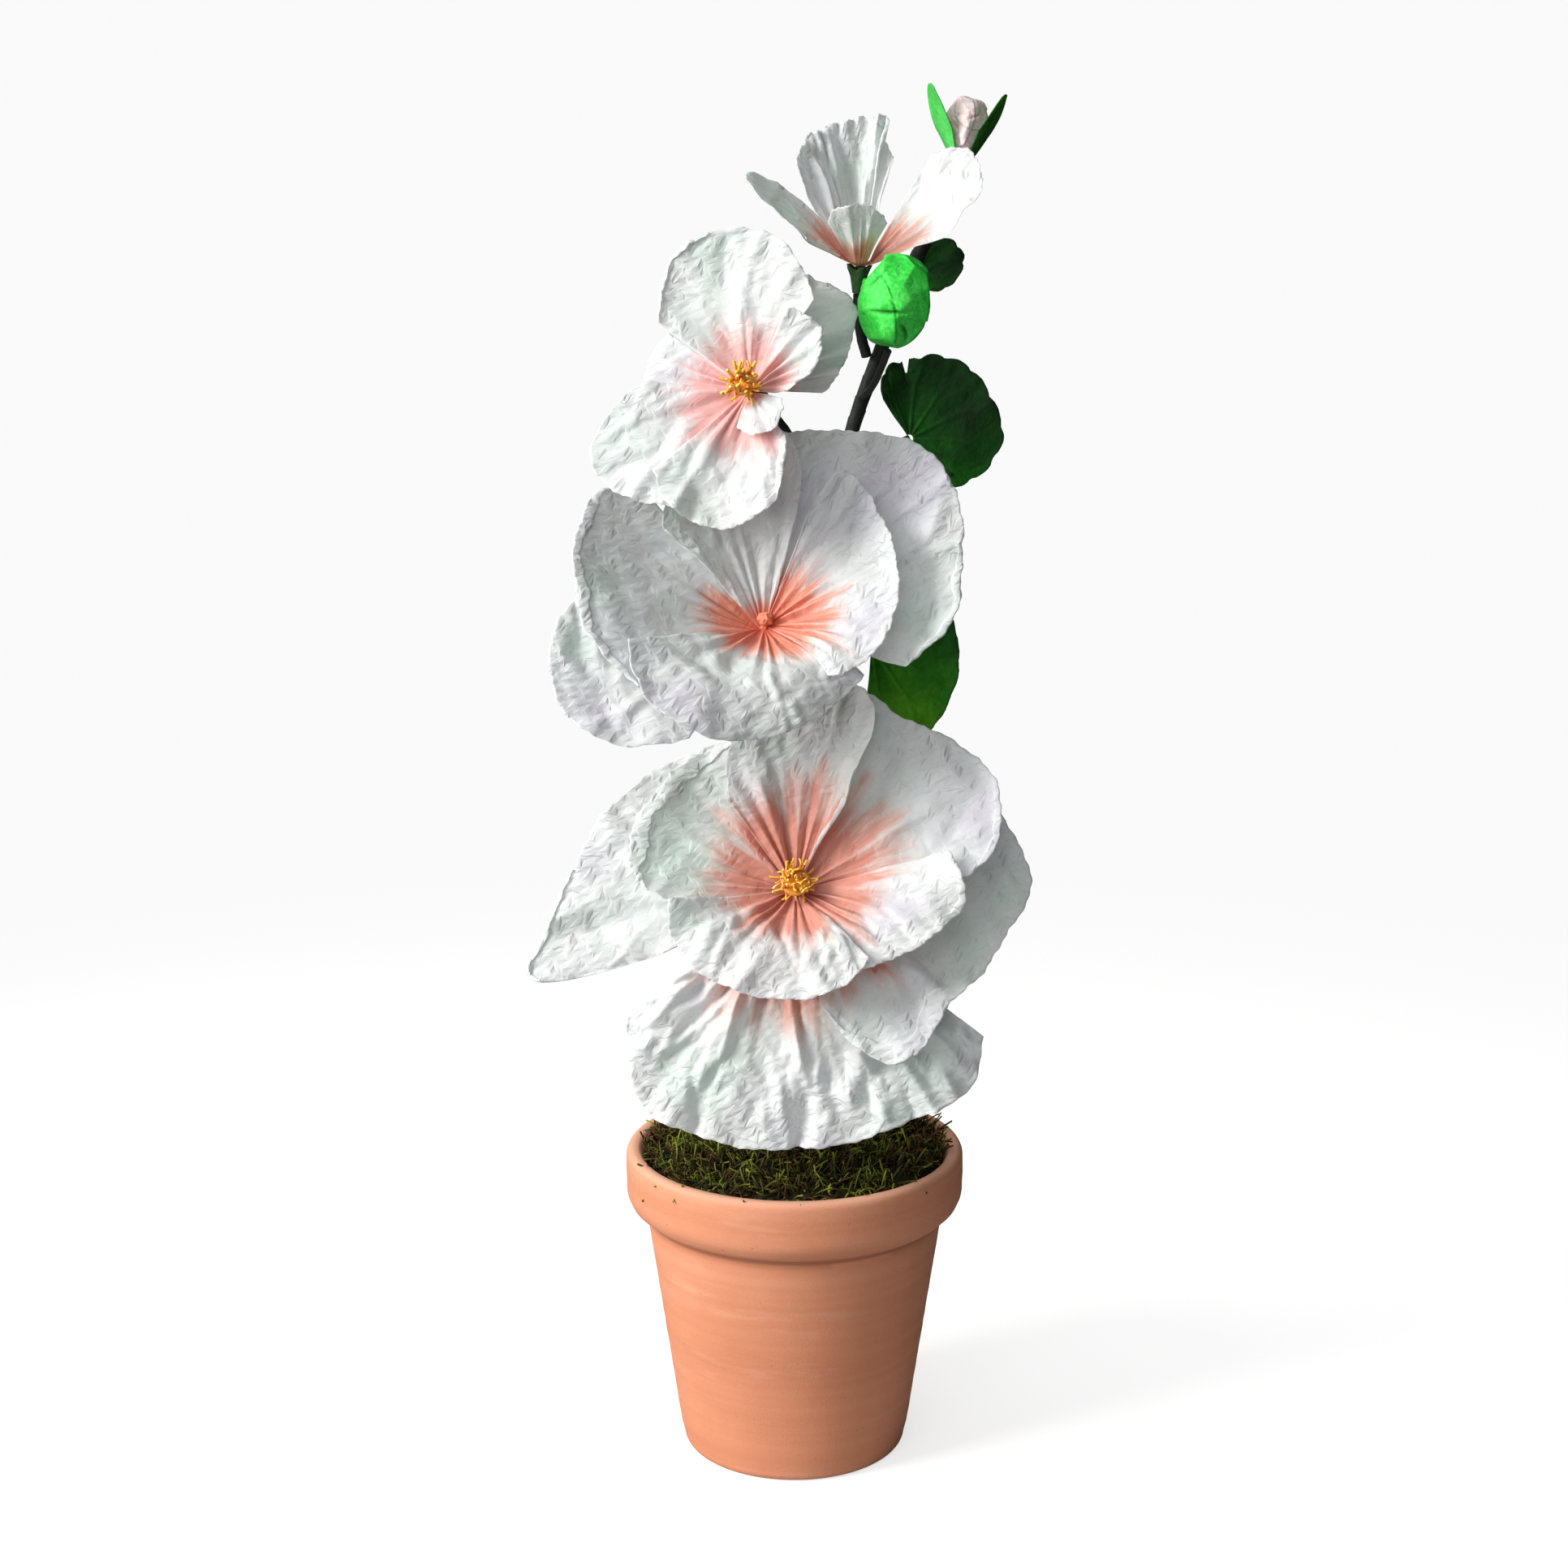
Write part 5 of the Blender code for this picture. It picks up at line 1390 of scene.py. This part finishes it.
def stemTree():
    # sweeps a round section along the route and lays the tape on it as a rising helix
    tree, given, result = startTree("tapedWire", {
        "Radius": ("NodeSocketFloat", 0.002),
        "Pitch": ("NodeSocketFloat", 0.006),
        "Lap": ("NodeSocketFloat", 0.0002),
    })
    route = addNode(tree, "GeometryNodeMeshToCurve", None, {"Mesh": given.outputs["Base"]})
    param = addNode(tree, "GeometryNodeSplineParameter")
    length = param.outputs["Length"]
    marked = storeFloat(tree, route.outputs[0], "along", length)
    width = addNode(tree, "GeometryNodeInputNamedAttribute", {"data_type": "FLOAT"}, {"Name": "width"})
    sized = addNode(tree, "GeometryNodeSetCurveRadius", None, {"Curve": marked, "Radius": width.outputs[0]})
    section = addNode(tree, "GeometryNodeCurvePrimitiveCircle", None, {"Resolution": 20, "Radius": given.outputs["Radius"]})
    around = storeFloat(tree, section.outputs[0], "around", addNode(tree, "GeometryNodeSplineParameter").outputs["Factor"])
    swept = addNode(tree, "GeometryNodeCurveToMesh", None, {"Curve": sized.outputs[0], "Profile Curve": around, "Fill Caps": True})
    alongRead = addNode(tree, "GeometryNodeInputNamedAttribute", {"data_type": "FLOAT"}, {"Name": "along"}).outputs[0]
    aroundRead = addNode(tree, "GeometryNodeInputNamedAttribute", {"data_type": "FLOAT"}, {"Name": "around"}).outputs[0]
    turns = maths(tree, "ADD", maths(tree, "DIVIDE", alongRead, given.outputs["Pitch"]), aroundRead)
    share = maths(tree, "FRACT", turns)
    wrap = addNode(tree, "ShaderNodeCombineXYZ", None, {0: share, 1: alongRead, 2: aroundRead})
    settings = {"data_type": "FLOAT_VECTOR", "domain": "POINT"}
    stored = addNode(tree, "GeometryNodeStoreNamedAttribute", settings, {"Geometry": swept.outputs[0], "Name": "wrap", "Value": wrap.outputs[0]})
    normal = addNode(tree, "GeometryNodeInputNormal").outputs[0]
    rise = maths(tree, "MULTIPLY", maths(tree, "POWER", share, 2.0), given.outputs["Lap"])
    offset = addNode(tree, "ShaderNodeVectorMath", {"operation": "SCALE"}, {0: normal, "Scale": rise})
    moved = addNode(tree, "GeometryNodeSetPosition", None, {"Geometry": stored.outputs[0], "Offset": offset.outputs[0]})
    smooth = addNode(tree, "GeometryNodeSetShadeSmooth", None, {"Geometry": moved.outputs[0], "Shade Smooth": True})
    finishTree(tree, smooth.outputs[0], result, finishes["stem"])
    return tree


stemRoute = [
    (0.000, 0.000, 0.020),
    (0.000, 0.000, 0.100),
    (0.002, 0.002, 0.180),
    (0.006, 0.004, 0.250),
    (0.011, 0.005, 0.295),
    (0.0172, 0.005, 0.321),
    (0.0255, 0.005, 0.3444),
    (0.0365, 0.006, 0.372),
    (0.0479, 0.0105, 0.3948),
]
wires = {"stemRadius": 2.1 * mm, "taper": 0.75, "stalkRadius": 1.5 * mm, "leafStalkRadius": 1.0 * mm, "gap": 0.3 * mm}


def smoothRoute(points, count):
    route = np.array(points, float)
    at = np.linspace(0.0, 1.0, count)
    return np.stack([spline(route[:, axis], at) for axis in range(3)], axis=1)


def besideStem(height, bearing, radius):
    route = smoothRoute(stemRoute, 80)
    reach = wires["stemRadius"] + radius + 2 * wires["gap"]
    turn = math.radians(bearing)
    x = float(np.interp(height, route[:, 2], route[:, 0])) + reach * math.sin(turn)
    y = float(np.interp(height, route[:, 2], route[:, 1])) - reach * math.cos(turn)
    return (x, y, height)


tapedWire = stemTree()


def buildWire(node, points, radius, taper=1.0, pitch=6.5 * mm):
    rough = smoothRoute(points, 60)
    total = float(np.sum(np.linalg.norm(np.diff(rough, axis=0), axis=1)))
    count = max(16, int(total / (0.9 * mm)))
    route = smoothRoute(points, count) + np.array(potAxis)
    mesh = bpy.data.meshes.new(f"{node}_route")
    mesh.from_pydata(route.tolist(), [(step, step + 1) for step in range(count - 1)], [])
    widths = np.linspace(1.0, taper, count).astype(np.float32)
    mesh.attributes.new("width", "FLOAT", "POINT").data.foreach_set("value", widths)
    made = runTree(f"{node}_taped", mesh, tapedWire, {"Radius": radius, "Pitch": pitch, "Lap": 0.09 * radius})
    keep(f"{node}_taped", made, "stem", "stem", node)


buildWire("stem", stemRoute, wires["stemRadius"], wires["taper"])
pedicels = {
    "bottom_pedicel": (0.166, 0, [(0.001, -0.012, 0.178), (0.0, -0.0235, 0.1808)]),
    "middle_pedicel": (0.244, -20, [(-0.003, -0.013, 0.252), (-0.0100, -0.0268, 0.2572)]),
    "upper_pedicel": (0.294, -40, [(-0.001, -0.010, 0.318), (-0.0095, -0.0205, 0.3305)]),
    "top_pedicel": (0.342, -60, [(0.0190, 0.001, 0.350), (0.0182, -0.0060, 0.3603)]),
}
for wireName, (height, bearing, rest) in pedicels.items():
    buildWire(wireName, [besideStem(height, bearing, wires["stalkRadius"]), *rest], wires["stalkRadius"])
leafRadius = wires["leafStalkRadius"]
buildWire("bud_stalk", [besideStem(0.330, -10, leafRadius), (0.0228, -0.010, 0.335), (0.0266, -0.0185, 0.3452)], leafRadius)
leafStalks = {"upper_leaf": (0.302, 90, (0.024, 0.017, 0.311)), "lower_leaf": (0.235, 110, (0.015, 0.0145, 0.246)), "top_leaf": (0.348, 160, (0.031, 0.0135, 0.357))}
for leafName, (height, bearing, middle) in leafStalks.items():
    x, y, z = leaves[leafName]["frame"][0]
    behind = (x, y + leafRadius + 2 * wires["gap"], z)
    buildWire(f"{leafName}_stalk", [besideStem(height, bearing, leafRadius), middle, behind], leafRadius)
report("wires taped")


def buildBud(node, place, sizes, lean, look, finish, slot):
    # a wad of crushed paper: flat facets cut from a round form, wrapped edges and a few deep creases
    rows, columns = look["rows"], look["columns"]
    rng = np.random.default_rng(look["seed"])
    polar = np.linspace(0, math.pi, rows + 2)[1:-1]
    around = np.linspace(0, turnFull, columns, endpoint=False)
    p, a = np.meshgrid(polar, around, indexing="ij")
    ray = np.stack([np.sin(p) * np.cos(a), np.sin(p) * np.sin(a), np.cos(p)], axis=-1)
    cutDepth = np.full(p.shape, 1.04)
    for number in range(look["facets"]):
        # facet directions spread evenly, then shaken a little
        height = 1 - 2 * (number + 0.5) / look["facets"]
        turn = number * 2.399963 + rng.normal(0, 0.25)
        ring = math.sqrt(max(0.0, 1 - height * height))
        normal = np.array([ring * math.cos(turn), ring * math.sin(turn), height]) + rng.normal(0, 0.10, 3)
        normal /= np.linalg.norm(normal)
        facing = ray @ normal
        reach = rng.uniform(*look["reach"]) / np.maximum(facing, 0.2)
        cutDepth = np.minimum(cutDepth, reach)
    depth = np.zeros(p.shape)
    rise = np.zeros(p.shape)
    for wrap, (x, y, z, offset) in enumerate(look["wraps"]):
        # one sheet's edge lying over the next: a step that fades away behind it, and a thin painted shade line along
        # the edge
        edge = ray @ np.array([x, y, z]) - offset + 0.05 * np.sin(3 * a + wrap)
        rise = rise + np.where(edge > 0, look["step"] * (1 - ease(edge / 0.8)), 0.0)
        depth = np.maximum(depth, np.clip(1.0 - np.abs(edge + 0.02) / 0.03, 0, 1) * 0.55)
    # each gash is pressed in, and its hollow is marked for painted shade
    for angle, height, half, tall, deep, slant in look["gashes"]:
        side = np.arctan2(np.sin(a - angle), np.cos(a - angle)) / half
        up = (ray[..., 2] - height - slant * side) / tall
        gash = np.exp(-up**2) * np.clip(1 - side**2, 0, 1)
        rise = rise - gash * deep
        depth = np.maximum(depth, gash * 0.9)
    ends = np.clip((1 - ray[..., 2] ** 2) * 4, 0, 1)
    form = cutDepth * (1 + rise * ends / 10)
    grid = ray * form[..., None] * np.array(sizes)
    poles = [[0, 0, float(np.mean(form[0])) * sizes[2]], [0, 0, -float(np.mean(form[-1])) * sizes[2]]]
    index = np.arange(rows * columns).reshape(rows, columns)
    after = np.roll(index, -1, axis=1)
    quads = np.stack([index[:-1], index[1:], after[1:], after[:-1]], axis=-1).reshape(-1, 4)
    north, south = np.full(columns, rows * columns), np.full(columns, rows * columns + 1)
    caps = np.concatenate([np.stack([north, index[0], after[0]], -1), np.stack([south, after[-1], index[-1]], -1)])
    marks = np.stack([depth, np.zeros_like(depth), np.zeros_like(depth)], axis=-1).reshape(-1, 3)
    matrix = Matrix.Translation(potAxis + Vector(place)) @ Matrix.Rotation(math.radians(lean), 4, "Y")
    piece = PieceMesh()
    piece.add(np.concatenate([grid.reshape(-1, 3), poles]), [quads, caps], {"marks": np.concatenate([marks, np.zeros((2, 3))])})
    keep(f"{node}_wad", piece.make(f"{node}_wad", matrix), finish, slot, node)


greenBud = {
    "rows": 110, "columns": 180, "seed": 6, "facets": 26, "reach": (0.90, 1.0), "step": 0.5,
    "wraps": ((0.55, -0.35, 0.75, 0.35), (-0.8, -0.3, -0.5, 0.42), (0.1, 0.9, 0.3, 0.3)),
    "gashes": ((-1.75, -0.22, 0.75, 0.050, 1.3, 0.07), (-0.95, -0.62, 0.45, 0.06, 0.8, -0.2), (-2.4, 0.45, 0.4, 0.05, 0.6, 0.3)),
}
pinkBud = {
    "rows": 80, "columns": 140, "seed": 16, "facets": 20, "reach": (0.92, 1.0), "step": 0.7,
    "wraps": ((0.7, -0.6, 0.3, 0.25), (-0.75, -0.6, 0.2, 0.35), (0.1, 0.8, 0.5, 0.3), (0.2, -0.7, 0.6, 0.62)),
    "gashes": ((-1.2, 0.35, 0.5, 0.05, 0.4, 0.2), (-2.2, 0.0, 0.35, 0.04, 0.35, -0.3)),
}
buildBud("green_bud", (0.0284, -0.019, 0.3592), (10.0 * mm, 9.5 * mm, 13.0 * mm), 10, greenBud, "greenPaper", "green_paper")
buildBud("top_bud", (0.0495, 0.0105, 0.4082), (6.0 * mm, 5.8 * mm, 7.6 * mm), 8, pinkBud, "pinkBud", "tissue")
report("buds crushed")


stage = {
    "white": 0.955,  # how bright the studio looks to the eye
    "clear": 0.75,  # metres from the pot where the last soft shadow ends
    "albedo": 0.50,
}


def stageMaterial(name):
    # pale floor: real light and soft shadows near the pot, even white further out
    made, tree, shader = startMaterial(name)
    place = addNode(tree, "ShaderNodeTexCoord").outputs["Object"]
    away = addNode(tree, "ShaderNodeVectorMath", {"operation": "LENGTH"}, {0: place}).outputs["Value"]
    near = addNode(tree, "ShaderNodeMapRange", {"interpolation_type": "SMOOTHSTEP"}, {"Value": away, "From Min": stage["clear"], "From Max": 0.12})
    near = near.outputs["Result"]
    grain = noise(tree, place, 9.0, 2.0)
    tone = levels(tree, grain, 0.3, 0.7, 0.97 * stage["albedo"], stage["albedo"])
    tone = maths(tree, "MULTIPLY", tone, near)
    tree.links.new(addNode(tree, "ShaderNodeCombineColor", None, {0: tone, 1: tone, 2: tone}).outputs[0], shader.inputs["Base Color"])
    shader.inputs["Roughness"].default_value = 0.95
    shader.inputs["Specular IOR Level"].default_value = 0.0
    seen = addNode(tree, "ShaderNodeLightPath").outputs["Is Camera Ray"]
    glow = levels(tree, near, 0.0, 1.0, stage["white"], stage["white"] - 0.50 * stage["albedo"])
    shine = addNode(tree, "ShaderNodeEmission", None, {"Color": (1.0, 1.0, 1.0, 1.0)})
    tree.links.new(maths(tree, "MULTIPLY", seen, glow), shine.inputs["Strength"])
    both = addNode(tree, "ShaderNodeAddShader")
    tree.links.new(shader.outputs[0], both.inputs[0])
    tree.links.new(shine.outputs[0], both.inputs[1])
    tree.links.new(both.outputs[0], tree.nodes["Material Output"].inputs["Surface"])
    return made


def buildStage():
    # a wide round floor
    steps, reach = 96, 9.0
    rim = [(reach * math.cos(turnFull * k / steps), reach * math.sin(turnFull * k / steps), 0.0) for k in range(steps)]
    floor = bpy.data.meshes.new("studio_floor")
    floor.from_pydata(rim, [], [tuple(range(steps))])
    floor.materials.append(stageMaterial("pale_floor"))
    made = bpy.data.objects.new("studio_floor", floor)
    bpy.context.scene.collection.objects.link(made)


def addLamp(name, place, aim, size, power, colour):
    lamp = bpy.data.lights.new(name, "AREA")
    lamp.shape = "RECTANGLE"
    lamp.size, lamp.size_y = size
    lamp.energy = power
    lamp.color = colour
    made = bpy.data.objects.new(name, lamp)
    made.location = potAxis + Vector(place)
    made.rotation_euler = (Vector(aim) - Vector(place)).to_track_quat("-Z", "Y").to_euler()
    bpy.context.scene.collection.objects.link(made)


def buildWorld():
    # white behind the object; the light it gives is brighter from the left, the front and above
    world = bpy.data.worlds.new("studio")
    bpy.context.scene.world = world
    world.use_nodes = True
    tree = world.node_tree
    back = tree.nodes["Background"]
    direction = addNode(tree, "ShaderNodeTexCoord").outputs["Generated"]
    parts = addNode(tree, "ShaderNodeSeparateXYZ", None, {0: direction})
    sideways = levels(tree, parts.outputs["X"], -0.55, 0.45, 1.0, 0.0)
    upward = levels(tree, parts.outputs["Z"], -0.3, 0.8, 0.25, 1.0)
    strength = maths(tree, "MULTIPLY_ADD", maths(tree, "MULTIPLY", sideways, upward), 0.95, 0.07)
    seen = addNode(tree, "ShaderNodeLightPath").outputs["Is Camera Ray"]
    shown = addNode(tree, "ShaderNodeMix", {"data_type": "FLOAT"}, {0: seen, 2: strength, 3: stage["white"]})
    tree.links.new(shown.outputs[0], back.inputs["Strength"])
    back.inputs["Color"].default_value = (1.0, 1.0, 1.0, 1.0)


def buildCamera():
    camera = bpy.data.cameras.new("view")
    camera.lens = 65.0
    camera.sensor_width = 36.0
    camera.clip_start = 0.01
    made = bpy.data.objects.new("view", camera)
    made.location = potAxis + Vector((-0.00331, -0.8374, 0.4074))
    made.rotation_euler = (math.radians(90 - 13.041), 0.0, 0.0)
    bpy.context.scene.collection.objects.link(made)
    bpy.context.scene.camera = made


buildStage()
buildWorld()
addLamp("window", (-1.15, -0.62, 0.80), (0.0, 0.0, 0.20), (0.55, 0.75), 27.0, (1.0, 0.985, 0.96))
addLamp("front_fill", (-0.35, -1.5, 0.95), (0.0, 0.0, 0.28), (1.0, 0.8), 7.0, (0.95, 0.98, 1.0))
buildCamera()
bpy.context.scene.view_settings.view_transform = "Standard"
report("studio lit")
